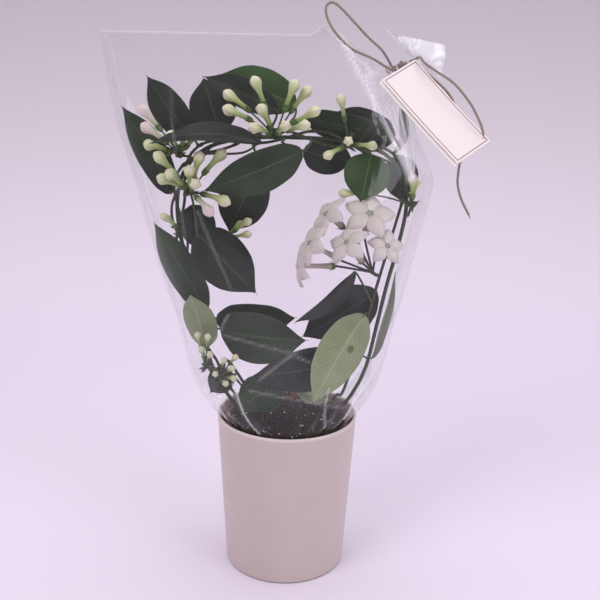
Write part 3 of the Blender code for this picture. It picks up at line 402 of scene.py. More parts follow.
def leafUnder(name, pale, deep, rib, spot=None):
    w = surface(name, pale, 0.5)
    lengthways, across, off, vein = leafLines(w, 22)
    vein = vein * 0.35
    midrib = (1 - off * 13).clamped() * 0.8
    colour = w.ramp(w.noise(60, 4), [(0.3, deep), (0.7, pale)])
    colour = w.blend(vein.math("MAXIMUM", midrib), colour, rib)
    if spot:
        # one dark blemish
        a = (lengthways - spot["along"]) / spot["long"]
        b = (across - spot["across"]) / spot["wide"]
        mark = ((1 - (a * a + b * b).math("SQRT")) * 5).clamped() * 0.9
        colour = w.blend(mark, colour, spot["colour"])
    w.paint(colour)
    w.bump(vein * 1.6 + w.noise(300, 2) * 0.3, 0.30, 0.0007)
    return w.material


def cardStock(name, colour, border=None):
    # UV: millimetres from the card's corner, down its long side and across it
    w = surface(name, colour, 0.62)
    base = w.ramp(w.noise(900), [(0.3, tuple(c * 0.975 for c in colour)), (0.7, colour)])
    if border:
        down, across, _ = w.parts("UV")
        near = down.math("MINIMUM", border["long"] - down)
        near = near.math("MINIMUM", across).math("MINIMUM", border["wide"] - across)
        line = (1 - abs(near - border["inset"]) * (1 / border["width"])).clamped()
        base = w.blend((line * 2.2).clamped(), base, border["colour"])
    w.paint(base)
    w.bump(w.noise(1500, 2), 0.10, 0.0002)
    return w.material


def clearFilm():
    # what is behind it shows through and grazing faces shine; where a point attribute says, the film turns
    # milky white, partly for bunched and sealed film and partly as painted highlights and painted reflection
    w = surface("clearFilm", (0.95, 0.93, 0.97), 0.12)
    w.material.diffuse_color = (0.9, 0.9, 0.95, 0.2)
    ripple = w.add("ShaderNodeBump", Height=w.noise((45, 45, 16)), Strength=0.25, Distance=0.002)
    w.feed(w.shader.inputs["Normal"], ripple)
    clear = w.add("ShaderNodeBsdfTransparent", Color=(0.975, 0.972, 0.978))
    shine = w.add("ShaderNodeBsdfGlossy", Color=(1.0, 1.0, 1.0), Roughness=0.05, Normal=ripple)
    facing = Signal(w, w.add("ShaderNodeLayerWeight", Blend=0.27).outputs["Fresnel"])
    glassy = w.blendShaders((facing * 1.15).math("MINIMUM", 0.34), clear, shine)
    milkAndPaintedGlints = w.add("ShaderNodeAttribute", dict(attribute_name="milkAndPaintedGlints")).outputs["Fac"]
    milky = w.blendShaders(milkAndPaintedGlints, glassy, w.shader)
    w.feed(w.tree.nodes["Material Output"].inputs["Surface"], milky)
    return w.material


glaze = potGlaze()
brownPlastic = grainSurface("reddishBrownPlastic", (0.16, 0.055, 0.038), 0.48, (60, 4), [
    (0.35, (0.15, 0.05, 0.035)), (0.75, (0.22, 0.10, 0.075))], 0.15, 0.0003, (600, 2))
peat = grainSurface("dampPeat", (0.030, 0.020, 0.014), 0.93, (240, 6, 0.65), [
    (0.30, (0.010, 0.007, 0.006)), (0.55, (0.034, 0.022, 0.016)), (0.80, (0.085, 0.055, 0.038))],
    0.8, 0.0010, (520, 5))
perlite = grainSurface("perlite", (0.78, 0.77, 0.74), 0.85, (700,), [
    (0.3, (0.62, 0.60, 0.56)), (0.7, (0.86, 0.85, 0.83))], 0.5, 0.0003, (1400, 2))
vineBark = stemBark("vineBark", (0.018, 0.026, 0.012), (0.070, 0.085, 0.034))
pedicelSkin = stemBark("pedicelSkin", (0.030, 0.048, 0.014), (0.085, 0.120, 0.038), 0.45)
flowerPedicelSkin = stemBark("flowerPedicelSkin", (0.014, 0.020, 0.010), (0.040, 0.052, 0.022), 0.45)
calyxSkin = stemBark("calyxSkin", (0.060, 0.11, 0.022), (0.14, 0.22, 0.055), 0.45)
hoopCoat = stemBark("hoopCoat", (0.020, 0.040, 0.018), (0.035, 0.060, 0.028), 0.4)
brownThread = stemBark("brownThread", (0.22, 0.10, 0.07), (0.40, 0.22, 0.16), 0.8)
leafTones = [leafUpper("leafUpperDeep", (0.008, 0.012, 0.008), (0.019, 0.026, 0.018), (0.060, 0.075, 0.050)),
             leafUpper("leafUpperMid", (0.012, 0.026, 0.009), (0.026, 0.050, 0.018), (0.070, 0.105, 0.045)),
             leafUpper("leafUpperFresh", (0.018, 0.048, 0.010), (0.038, 0.082, 0.020), (0.10, 0.16, 0.05))]
paleUnder = leafUnder("leafUnder", (0.255, 0.305, 0.155), (0.190, 0.235, 0.115), (0.36, 0.41, 0.23))
leafSpot = dict(along=0.36, across=0.66, long=0.045, wide=0.085, colour=(0.085, 0.115, 0.028))
spottedUnder = leafUnder("leafUnderSpotted", (0.275, 0.325, 0.170), (0.210, 0.255, 0.125),
                         (0.38, 0.43, 0.25), leafSpot)
budSurface = budSkin("greenBudSkin", [
    (0.10, (0.16, 0.25, 0.05)), (0.34, (0.31, 0.40, 0.13)), (0.62, (0.50, 0.57, 0.26)),
    (0.82, (0.68, 0.71, 0.42)), (0.97, (0.76, 0.72, 0.54))])
blushBud = budSkin("blushBudSkin", [
    (0.10, (0.24, 0.28, 0.12)), (0.40, (0.50, 0.50, 0.36)), (0.70, (0.72, 0.62, 0.58)),
    (0.97, (0.80, 0.66, 0.66))])
petal = fadingSkin("waxyPetal", (0.82, 0.79, 0.74), 0.38, [
    (0.0, (0.36, 0.38, 0.22)), (0.07, (0.44, 0.39, 0.34)), (0.17, (0.52, 0.46, 0.44)),
    (0.30, (0.66, 0.62, 0.57)), (0.60, (0.70, 0.65, 0.625)), (0.97, (0.66, 0.605, 0.60))],
    120, 0.10, 0.18, (420,),
    Subsurface_Weight=0.25, Subsurface_Scale=0.003, Sheen_Weight=0.08)
jute = grainSurface("juteFibre", (0.30, 0.22, 0.14), 0.9, (2200, 5, 0.7), [
    (0.30, (0.10, 0.075, 0.058)), (0.52, (0.27, 0.215, 0.17)), (0.75, (0.50, 0.425, 0.34))], 0.8, 0.0004,
    Sheen_Weight=0.3, Sheen_Roughness=0.6)
film = clearFilm()


# Shapes

def meshObject(name, points, faces, materials, faceMaterials=None, uvs=None, smooth=True):
    mesh = bpy.data.meshes.new(name)
    mesh.from_pydata([tuple(p) for p in points], [], faces)
    for material in materials:
        mesh.materials.append(material)
    if faceMaterials is not None:
        mesh.polygons.foreach_set("material_index", faceMaterials)
    layer = mesh.uv_layers.new(name="UVMap")
    flat = np.array([uvs[loop.vertex_index] for loop in mesh.loops], dtype=float)
    layer.data.foreach_set("uv", flat.ravel())
    if smooth:
        mesh.shade_smooth()
    mesh.update()
    return placed(name, mesh)


def faceOutward(thing):
    body = bmesh.new()
    body.from_mesh(thing.data)
    bmesh.ops.recalc_face_normals(body, faces=body.faces)
    body.to_mesh(thing.data)
    body.free()
    return thing


def tubeRings(path, radii, sides, waves=0.0, twist=0.0):
    # round rings along a path; waves makes them a little five-sided
    rings, side = [], None
    for i, point in enumerate(path):
        ahead = (path[min(i + 1, len(path) - 1)] - path[max(i - 1, 0)]).normalized()
        if side is None:
            side = ahead.orthogonal().normalized()
        side = (side - ahead * side.dot(ahead)).normalized()
        over = ahead.cross(side)
        turn = twist * i / len(path)
        depth = waves[i] if isinstance(waves, list) else waves
        ring = []
        for k in range(sides):
            a = 2 * pi * k / sides + turn
            r = radii[i] * (1 + depth * cos(10 * pi * k / sides))
            ring.append(point + r * (cos(a) * side + sin(a) * over))
        rings.append(ring)
    return rings


def ringFaces(base, count, sides):
    # the faces between rings of points, each numbered on from the one before
    faces = []
    for low in range(base, base + (count - 1) * sides, sides):
        high = low + sides
        for i in range(sides):
            j = (i + 1) % sides
            faces.append((low + i, low + j, high + j, high + i))
    return faces


class Sheaf:
    # gathers many small closed shapes into one mesh
    def __init__(self):
        self.points, self.faces, self.slots, self.uvs = [], [], [], []

    def rings(self, rings, slot=0, shares=None):
        # equal rings of points joined into a tube; shares give each ring's place for the colours
        base = len(self.points)
        sides = len(rings[0])
        for k, ring in enumerate(rings):
            self.points += ring
            share = shares[k] if shares else k / (len(rings) - 1)
            self.uvs += [(share, i / sides) for i in range(sides)]
        last = base + (len(rings) - 1) * sides
        self.faces += ringFaces(base, len(rings), sides)
        self.faces.append(tuple(range(base + sides - 1, base - 1, -1)))
        self.faces.append(tuple(range(last, last + sides)))
        self.slots += [slot] * (last - base + 2)

    def tube(self, path, radii, sides, slot=0):
        # a round tube along a path
        self.rings(tubeRings(path, radii, sides), slot)

    def grid(self, rows, slot=0, uvRows=None):
        base = len(self.points)
        width = len(rows[0])
        for k, row in enumerate(rows):
            self.points += row
            plain = [(k / (len(rows) - 1), i / (width - 1)) for i in range(width)]
            self.uvs += uvRows[k] if uvRows else plain
        for k in range(len(rows) - 1):
            for a in range(base + k * width, base + (k + 1) * width - 1):
                self.faces.append((a, a + 1, a + width + 1, a + width))
                self.slots.append(slot)
        return base

    def twoSheets(self, topRows, underRows, uvRows, underSlot=0):
        # two sheets of points joined round their rim
        columns, count = len(topRows[0]), len(topRows)
        upper = self.grid(topRows, 0, uvRows)
        lower = self.grid([row[::-1] for row in underRows], underSlot, [row[::-1] for row in uvRows])
        rim = [(0, i) for i in range(columns)] + [(k, columns - 1) for k in range(1, count)]
        rim += [(count - 1, i) for i in range(columns - 2, -1, -1)]
        rim += [(k, 0) for k in range(count - 2, 0, -1)]
        ends = [(upper + k * columns + i, lower + (k + 1) * columns - 1 - i) for k, i in rim]
        for (a, belowA), (b, belowB) in zip(ends, ends[1:] + ends[:1]):
            self.faces.append((a, belowA, belowB, b))
            self.slots.append(0)

    def made(self, name, materials):
        return faceOutward(meshObject(name, self.points, self.faces, materials, self.slots, self.uvs))


def turnedShape(name, profile, steps, material):
    # a profile of (radius, height) pairs turned about the upright axis
    sheaf = Sheaf()
    sheaf.rings([circle(r, steps, z) for r, z in profile])
    return sheaf.made(name, [material])


def dress(thing, slot, *replaced):
    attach(thing, "root")
    if replaced:
        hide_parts(*replaced)


class Grower(Wiring):
    # a geometry tree with named inputs, run once on a source and kept as a plain mesh
    def __init__(self, name, **inputs):
        super().__init__(bpy.data.node_groups.new(name, "GeometryNodeTree"))
        face = self.tree.interface
        for label, kind in dict(Geometry="Geometry", **inputs, Material="Material").items():
            face.new_socket(label.replace("_", " "), in_out="INPUT", socket_type="NodeSocket" + kind)
        face.new_socket("Geometry", in_out="OUTPUT", socket_type="NodeSocketGeometry")
        self.entry = self.add("NodeGroupInput").outputs

    def scaled(self, vector, scale):
        return self.add("ShaderNodeVectorMath", dict(operation="SCALE"), Vector=vector, Scale=scale)

    def finish(self, shape):
        real = self.add("GeometryNodeRealizeInstances", Geometry=shape)
        paint = self.add("GeometryNodeSetMaterial", Geometry=real, Material=self.entry["Material"])
        self.add("NodeGroupOutput", Geometry=paint)
        return self

    def grow(self, name, source, **values):
        modifier = source.modifiers.new("grow", "NODES")
        modifier.node_group = self.tree
        for item in self.tree.interface.items_tree:
            label = item.name.replace(" ", "_")
            if item.in_out == "INPUT" and label in values:
                modifier[item.identifier] = values[label]
        bpy.context.view_layer.update()
        graph = bpy.context.evaluated_depsgraph_get()
        mesh = bpy.data.meshes.new_from_object(source.evaluated_get(graph))
        source.modifiers.remove(modifier)
        bpy.data.objects.remove(source, do_unlink=True)
        mesh.shade_smooth()
        return placed(name, mesh)


def pathSource(paths, radii=None):
    # bare lines for a tree to follow, with a radius kept on each point
    points, edges = [], []
    for path in paths:
        base = len(points)
        points += [tuple(p) for p in path]
        edges += [(base + i, base + i + 1) for i in range(len(path) - 1)]
    mesh = bpy.data.meshes.new("paths")
    mesh.from_pydata(points, edges, [])
    if radii:
        mesh.attributes.new("radiusHere", "FLOAT", "POINT").data.foreach_set("value", radii)
    return placed("paths", mesh)


def stemGrowth():
    # tubes along lines, each point with its own radius
    w = Grower("stemsAlongPaths", Sides="Int")
    line = w.add("GeometryNodeMeshToCurve", Mesh=w.entry["Geometry"])
    radius = w.add("GeometryNodeInputNamedAttribute", dict(data_type="FLOAT"), Name="radiusHere")
    ring = w.add("GeometryNodeCurvePrimitiveCircle", Radius=1.0, Resolution=w.entry["Sides"])
    tube = w.add("GeometryNodeCurveToMesh", Curve=line, Profile_Curve=ring, Scale=radius, Fill_Caps=True)
    return w.finish(tube)


def twineGrowth():
    # two strands laid round each other along each line
    w = Grower("twoPlyTwine", Strand_Radius="Float", Lay="Float", Reach="Float")
    line = w.add("GeometryNodeMeshToCurve", Mesh=w.entry["Geometry"])
    line = w.add("GeometryNodeResampleCurve", dict(mode="LENGTH"), Curve=line, Length=twine["sample"])
    strands = w.add("GeometryNodeJoinGeometry")
    for phase in (0.0, pi):
        run = w.add("GeometryNodeSplineParameter").outputs["Length"]
        around = w.add("ShaderNodeVectorRotate", dict(rotation_type="AXIS_ANGLE"),
                       Vector=w.add("GeometryNodeInputNormal"), Axis=w.add("GeometryNodeInputTangent"),
                       Angle=w.math("MULTIPLY_ADD", run, w.entry["Lay"], phase))
        moved = w.add("GeometryNodeSetPosition", Geometry=line, Offset=w.scaled(around, w.entry["Reach"]))
        ring = w.add("GeometryNodeCurvePrimitiveCircle", Resolution=8, Radius=w.entry["Strand Radius"])
        strand = w.add("GeometryNodeCurveToMesh", Curve=moved, Profile_Curve=ring, Fill_Caps=True)
        w.feed(strands.inputs["Geometry"], strand)
    return w.finish(strands)


def crumbGrowth():
    # small lumps strewn over a surface, each of its own size and turn, and all roughened
    w = Grower("strewnCrumbs", Density="Float", Smallest="Float", Largest="Float", Roughness="Float",
               Seed="Int")
    strewn = w.add("GeometryNodeDistributePointsOnFaces", Mesh=w.entry["Geometry"],
                   Density=w.entry["Density"], Seed=w.entry["Seed"])
    lump = w.add("GeometryNodeMeshIcoSphere", Radius=1.0, Subdivisions=2)
    turn = w.add("FunctionNodeRandomValue", dict(data_type="FLOAT_VECTOR"), Max=(2 * pi, 2 * pi, 2 * pi))
    size = w.add("FunctionNodeRandomValue", dict(data_type="FLOAT"))
    w.feedAll(size, {2: w.entry["Smallest"], 3: w.entry["Largest"]})
    lumps = w.add("GeometryNodeInstanceOnPoints", Points=strewn, Instance=lump, Rotation=turn,
                  Scale=size.outputs[1])
    real = w.add("GeometryNodeRealizeInstances", Geometry=lumps)
    rough = w.add("ShaderNodeTexNoise", Scale=900).outputs["Color"]
    centred = w.add("ShaderNodeVectorMath", dict(operation="SUBTRACT"))
    w.feedAll(centred, {0: rough, 1: (0.5, 0.5, 0.5)})
    moved = w.add("GeometryNodeSetPosition", Geometry=real, Offset=w.scaled(centred, w.entry["Roughness"]))
    return w.finish(moved)


# Twine: the cords come first, along the routes of their solids

twine = dict(strandRadius=0.00070, reach=0.00052, lay=1150.0, sample=0.0006, step=0.0030,
             fuzzSeed=11, fuzzPerMetre=900, fuzzStep=0.0015, fuzzLength=0.0016, fuzzFoot=0.0009,
             fibreRadii=[0.00006, 0.00005, 0.00003], frayed=16, fraySeed=5, fraySpread=0.34)
twineRoutes = {
    "twine_loop": [(88.9, -10.8, 480.1), (86, -11.4, 479.1), (79, -20, 482), (66, -29, 489),
                   (46, -30, 498), (31, -24, 514), (26, -19, 527), (29, -17, 533), (35, -18, 532),
                   (47, -22, 521), (61, -25, 507), (74, -23, 496), (81, -16, 487), (85, -11.3, 481.6),
                   (87.9, -10.8, 482.6)],
    "twine_tail_1": [(99.2, -10.8, 486.8), (102.6, -11.4, 488.2), (107, -21, 491), (110, -29, 486.5),
                     (121, -37, 479), (133, -46, 471), (146, -54, 456), (155, -58, 440), (158, -59, 431)],
    "twine_tail_2": [(100.1, -10.8, 484.1), (103, -11.4, 484.4), (108, -15.5, 482), (120, -20, 473),
                     (132, -26, 462), (140, -28, 448), (145, -30, 432), (147, -30, 415), (145, -30, 399),
                     (145, -30, 385), (149, -32, 372), (156, -34, 359)],
}
stemGrower = stemGrowth()
twineGrower = twineGrowth()
crumbGrower = crumbGrowth()


def looseFibres(path, count, seed, spread):
    # short fibres that stand off the twine
    rng = np.random.default_rng(seed)
    fibres = []
    for _ in range(count):
        i = int(rng.integers(1, len(path) - 1))
        ahead = (path[i + 1] - path[i - 1]).normalized()
        out = Vector(rng.normal(size=3))
        out = (out - ahead * out.dot(ahead)).normalized()
        start = path[i] + out * twine["fuzzFoot"]
        length = spread * (0.5 + rng.random())
        lean = (out * 0.6 + ahead * float(rng.normal()) * 0.9).normalized()
        end = start + (lean + ahead * 0.3).normalized() * length
        fibres.append([start, start + lean * length * 0.5, end])
    return fibres


def frayedEnd(path):
    # a small brush of fibres at the twine's end
    tip, ahead = path[-1], (path[-1] - path[-2]).normalized()
    rng = np.random.default_rng(twine["fraySeed"])
    fibres = []
    for _ in range(twine["frayed"]):
        out = Vector(rng.normal(size=3)) * twine["fraySpread"]
        fibres.append([tip - ahead * 0.002, tip + (ahead + out * 0.5).normalized() * 0.0015,
                       tip + (ahead + out).normalized() * 0.0035])
    return fibres


def grownTwine(name, paths, fibres):
    # the strands along some paths and their fibres, kept as one piece
    strands = twineGrower.grow(name + "_lay", pathSource(paths), Strand_Radius=twine["strandRadius"],
                               Lay=twine["lay"], Reach=twine["reach"], Material=jute)
    sheaf = Sheaf()
    for fibre in fibres:
        sheaf.tube(fibre, twine["fibreRadii"], 3)
    body = bmesh.new()
    for thing in (strands, sheaf.made(name + "_fuzz", [jute])):
        body.from_mesh(thing.data)
        bpy.data.objects.remove(thing, do_unlink=True)
    mesh = bpy.data.meshes.new(name)
    body.to_mesh(mesh)
    body.free()
    mesh.materials.append(jute)
    mesh.polygons.foreach_set("material_index", [0] * len(mesh.polygons))
    return placed(name, mesh)


def makeTwine(name, farEnd):
    path = curveThrough(mmRows(twineRoutes[name]), twine["step"])
    length = pathLength(path)
    fibres = looseFibres(curveThrough(path, twine["fuzzStep"]), int(length * twine["fuzzPerMetre"]),
                         twine["fuzzSeed"], twine["fuzzLength"])
    if farEnd == "bare":
        fibres += frayedEnd(path)
    cord = grownTwine(name + "_strands", [path], fibres)
    dress(cord, "jute", name)
    print(f"{name}: {length * 1000:.0f} mm")


makeTwine("twine_loop", "object")
makeTwine("twine_tail_1", "bare")
makeTwine("twine_tail_2", "bare")
print("twine done")


# Floor and wall in one sweep

def studioSweep():
    s = studio
    rows = []
    bendEnd = s["floorShare"] + s["bendShare"]
    for k in range(s["steps"] + 1):
        t = k / s["steps"]
        if t < s["floorShare"]:
            y, z = mix(s["front"], s["wallAt"] - s["bend"], t / s["floorShare"]), 0.0
        elif t < bendEnd:
            a = (t - s["floorShare"]) / s["bendShare"] * pi / 2
            y, z = s["wallAt"] - s["bend"] * (1 - sin(a)), s["bend"] * (1 - cos(a))
        else:
            y, z = s["wallAt"], mix(s["bend"], s["wallTop"], (t - bendEnd) / (1 - bendEnd))
        rows.append([Vector((x, y, z)) for x in s["columns"]])
    sheaf = Sheaf()
    sheaf.grid(rows)
    w = surface("paperSweep", s["floor"], s["roughness"], Emission_Color=s["floor"],
                Emission_Strength=s["glow"])
    _, _, height = w.parts()
    # painted shade: the sweep's colour darkens from the floor up the wall, where less light reaches
    w.paint(w.ramp(height, [(0.0, s["floor"]), (s["midShadeAt"], s["middle"]), (s["fullShadeAt"], s["wall"])]))
    sheaf.made("studioSweep", [w.material])


studioSweep()


# Pot, grow pot and soil

potShape = dict(height=0.1555, rimRadius=0.0675, baseRadius=0.0588, wall=0.0026, floor=0.0040, foot=0.0012,
                fillet=0.004, footFlat=0.006, axis=0.0002, innerFrom=0.012, outerFrom=0.00216, steps=144)
growPotShape = dict(top=0.1490, rimRadius=0.0605, baseRadius=0.0440, wall=0.0012, lip=0.0018,
                    lipHeight=0.007, edge=0.0004, gap=0.0003, steps=120,
                    drainHoles=6, drainRadius=0.0045, drainRing=0.0290, drillSides=24)
growPotShape["low"] = potShape["floor"] + growPotShape["gap"]
soilShape = dict(top=0.1440, dome=0.0030, domeReach=0.050, level=0.052, rings=30, steps=96, edgeDrop=0.0012,
                 edgeInset=0.0006, sides=(0.138, 0.10, 0.06), strewRings=14, strewSteps=40,
                 strewInset=0.0016, rise=0.0012, riseFrom=0.030, riseOver=0.02, levelOver=0.006,
                 bumps=[(90, 3.1, 0.0016), (260, 7.7, 0.0008)])
soilGrains = {
    "soilCrumbs": dict(Material=peat, Density=190000.0, Smallest=0.0006, Largest=0.0021,
                       Roughness=0.0012, Seed=4),
    "perliteGrains": dict(Material=perlite, Density=9500.0, Smallest=0.0007, Largest=0.0014,
                          Roughness=0.0006, Seed=9),
}


def potRadius(z):
    return mix(potShape["baseRadius"], potShape["rimRadius"], z / potShape["height"])


def makePot():
    p = potShape
    lip, inside = p["wall"] / 2, potRadius(p["floor"]) - p["wall"] - p["fillet"]
    lipAt = p["height"] - lip
    profile = [(p["axis"], p["floor"]), (inside, p["floor"])]
    profile += arc(inside, p["floor"] + p["fillet"], p["fillet"], -72, 0, 5)
    profile += [(potRadius(z) - p["wall"], z) for z in np.linspace(p["innerFrom"], lipAt, 14)]
    profile += arc(p["rimRadius"] - lip, lipAt, lip, 165, 15, 11)
    profile += [(potRadius(z), z) for z in np.linspace(lipAt, p["outerFrom"], 22)]
    profile += arc(p["baseRadius"] - p["foot"], p["foot"], p["foot"], -15, -90, 6)
    profile += [(p["baseRadius"] - p["foot"] - p["footFlat"], 0.0), (p["axis"], 0.0)]
    dress(turnedShape("cachepot", profile, p["steps"], glaze), "pot_glaze", "pot")


def growPotRadius(z):
    g = growPotShape
    return mix(g["baseRadius"], g["rimRadius"] - g["lip"], (z - g["low"]) / (g["top"] - g["low"]))


def growPotProfile():
    g = growPotShape
    low, top, edge, rim, wall = g["low"], g["top"], g["edge"], g["rimRadius"], g["wall"]
    under = top - g["lipHeight"]
    axis = potShape["axis"]
    profile = [(axis, low + wall), (g["baseRadius"] - wall, low + wall)]
    profile += [(growPotRadius(z) - wall, z) for z in np.linspace(low + 0.004, top - edge, 10)]
    profile += [(growPotRadius(top) - wall + edge, top), (rim - edge, top), (rim, top - edge),
                (rim, under + edge), (rim - edge, under), (growPotRadius(under), under - 0.0002)]
    profile += [(growPotRadius(z), z) for z in np.linspace(under - 0.001, low + 0.001, 10)]
    return profile + [(g["baseRadius"] - edge, low), (axis, low)]


def makeGrowPot():
    g = growPotShape
    pot = turnedShape("innerPot", growPotProfile(), g["steps"], brownPlastic)
    for spot in circle(g["drainRing"], g["drainHoles"], g["low"] + 0.0005):
        bpy.ops.mesh.primitive_cylinder_add(vertices=g["drillSides"], radius=g["drainRadius"], depth=0.006,
                                            location=spot)
        drill = bpy.context.object
        cut = pot.modifiers.new("drain", "BOOLEAN")
        cut.operation = "DIFFERENCE"
        cut.solver = "EXACT"
        cut.object = drill
        bpy.context.view_layer.update()
        mesh = bpy.data.meshes.new_from_object(pot.evaluated_get(bpy.context.evaluated_depsgraph_get()))
        pot.modifiers.remove(cut)
        pot.data = mesh
        bpy.data.objects.remove(drill, do_unlink=True)
    pot.data.materials.clear()
    pot.data.materials.append(brownPlastic)
    pot.data.polygons.foreach_set("material_index", [0] * len(pot.data.polygons))
    dress(pot, "grow_pot_plastic", "grow_pot")


def soilHeight(x, y):
    # a low dome with small bumps, level at its rim
    s = soilShape
    away = hypot(x, y)
    dome = s["dome"] * (1 - ease(away / s["domeReach"]))
    dome += s["rise"] * ease((away - s["riseFrom"]) / s["riseOver"])
    rough = 0.0
    for scale, layer, size in s["bumps"]:
        rough += noise.noise(Vector((x * scale, y * scale, layer))) * size
    return s["top"] + dome + rough * (1 - ease((away - s["level"]) / s["levelOver"]))


def soilRadius(z):
    return growPotRadius(z) - growPotShape["wall"] - 2 * growPotShape["gap"]


def makeSoil():
    s = soilShape
    low = growPotShape["low"] + growPotShape["gap"] + growPotShape["wall"]
    reach = soilRadius(s["top"])
    rings = [circle(reach * (k / s["rings"]), s["steps"], soilHeight) for k in range(1, s["rings"])]
    rings.append(circle(reach - s["edgeInset"], s["steps"], lambda x, y: soilHeight(x, y) - s["edgeDrop"]))
    rings += [circle(soilRadius(z), s["steps"], z) for z in (*s["sides"], low + 0.002)]
    rings.append(circle(soilRadius(low) - 0.001, s["steps"], low))
    sheaf = Sheaf()
    sheaf.rings(rings)
    dress(sheaf.made("soilBall", [peat]), "peat", "soil")
    rows = [circle(r, s["strewSteps"], lambda x, y: soilHeight(x, y) + 0.0002, 1)
            for r in np.linspace(0.001, reach - s["strewInset"], s["strewRings"])]
    for label, plan in soilGrains.items():
        strew = Sheaf()
        strew.grid(rows)
        grains = crumbGrower.grow(label, strew.made("strewSurface", [plan["Material"]]), **plan)
        print(label, len(grains.data.polygons))
        dress(grains, "peat")


makePot()
makeGrowPot()
makeSoil()
print("pots and soil done")


# Hoop and vine stems: the same routes as their solids, in finer tubes

hoopShape = dict(wireRadius=0.0018, sides=16, step=0.004, fineStep=0.002, middle=(0, 0, 0.300))
hoopRoute = [(-46, 100), (-46, 125), (-46, 149), (-49, 158), (-60, 174), (-73, 200), (-83, 240),
             (-92, 280), (-100, 320), (-104, 355), (-98, 385), (-78, 407), (-45, 417), (0, 419),
             (45, 417), (80, 408), (99, 388), (105, 360), (100, 325), (91, 285), (83, 243),
             (75, 203), (63, 175), (51, 158), (48, 149), (48, 125), (48, 100)]
hoopPoints = [mm(x, 0, z) for x, z in hoopRoute]
hoopLine = curveThrough(hoopPoints, hoopShape["fineStep"])
hoopLength = hoopShape["fineStep"] * (len(hoopLine) - 1)
vineShape = dict(radius=0.0014, fullness=1.08, sides=12, pitch=0.105, reach=0.0048, wander=0.0020,
                 joinAfter=0.062, spacing=0.012, step=0.0025, lineStep=0.013, lowStep=0.008,
                 knobEvery=0.052, knobSwell=0.55, knobReach=0.0016, thinning=0.25)
vineRoots = {
    "vine_left": dict(strand=0, start=0.075, end=0.560,
                      root=[(-34, 7, 100), (-34, 7, 125), (-34, 7, 149), (-35, 7, 158), (-43, 5, 172)]),
    "vine_middle": dict(strand=-1, start=0.110, end=0.385,
                        root=[(-24, -12, 100), (-24, -12, 125), (-24, -12, 149), (-25, -12, 158),
                              (-40, -10, 184), (-58, -5, 208)]),
    "vine_right": dict(strand=1, start=0.545, end=0.170,
                       root=[(37, -8, 100), (37, -8, 125), (37, -8, 149), (38, -8, 158), (47, -6, 175),
                             (58, -4, 192)]),
}
lowStemRoute = [(8, -6, 100), (8, -6, 125), (8, -6, 149), (7, -7, 156), (3, -11, 169), (-5, -15, 182)]
vineLines = {}


def helixPoint(distance, strand):
    # three strands keep a third of a turn between them round the wire
    v = vineShape
    i = min(max(int(distance / hoopLength * (len(hoopLine) - 1)), 1), len(hoopLine) - 2)
    point = along(hoopLine, distance)
    heading = (hoopLine[i + 1] - hoopLine[i - 1]).normalized()
    outward = viewer.cross(heading).normalized()
    if outward.dot(point - Vector(hoopShape["middle"])) < 0:
        outward = -outward
    turn = 2 * pi * ((distance - v["joinAfter"]) / v["pitch"] + 0.5 + strand / 3)
    reach = v["reach"] + v["wander"] * (0.5 + 0.5 * sin(distance * 31 + strand * 2.1))
    return point + reach * (cos(turn) * outward + sin(turn) * viewer)


def vineRoute(plan):
    v = vineShape
    rising = 1 if plan["end"] > plan["start"] else -1
    base = v["joinAfter"] - plan["strand"] / 3 * v["pitch"]
    start = base + round((plan["start"] - base) / v["pitch"]) * v["pitch"]
    count = int(abs(plan["end"] - start) / v["spacing"])
    wound = [helixPoint(start + rising * v["spacing"] * k, plan["strand"]) for k in range(count + 1)]
    return mmRows(plan["root"]) + wound


def stemRadii(path, radius, seed):
    # a living stem swells at its joints and thins toward its end
    v = vineShape
    radii, run = [], 0.0
    for i, point in enumerate(path):
        run += (point - path[i - 1]).length if i else 0
        off = (run + seed * 0.017) % v["knobEvery"]
        off = min(off, v["knobEvery"] - off)
        knob = 1 + v["knobSwell"] * exp(-(off / v["knobReach"]) ** 2)
        thin = 1.0 - v["thinning"] * i / len(path)
        radii.append(radius * thin * knob * (1 + 0.06 * noise.noise(point * 160)))
    radii[-1] *= 0.5
    return radii


def grownStem(name, path, radii, sides, material):
    return stemGrower.grow(name, pathSource([path], radii), Sides=sides, Material=material)


def makeStem(name, node, route, lineStep, radius, seed):
    # vineLines keeps a coarse line of each stem, which the stalks start from
    vineLines[node] = curveThrough(route, lineStep)
    path = curveThrough(route, vineShape["step"])
    stem = grownStem(name, path, stemRadii(path, radius, seed), vineShape["sides"], vineBark)
    dress(stem, "stem", node)


hoopPath = curveThrough(hoopPoints, hoopShape["step"])
hoopRadii = [hoopShape["wireRadius"]] * len(hoopPath)
dress(grownStem("hoopWire", hoopPath, hoopRadii, hoopShape["sides"], hoopCoat), "hoop_wire", "hoop")
for seed, (vineName, plan) in enumerate(vineRoots.items()):
    radius = vineShape["radius"] * vineShape["fullness"]
    makeStem(vineName + "_stem", vineName, vineRoute(plan), vineShape["lineStep"], radius, seed)
makeStem("lowStem", "low_stem", mmRows(lowStemRoute), vineShape["lowStep"], vineShape["radius"], 5)
print("hoop and vines done")


# Leaves: each one follows the sections of its solid, with a finer outline, a midrib and thin rolled edges

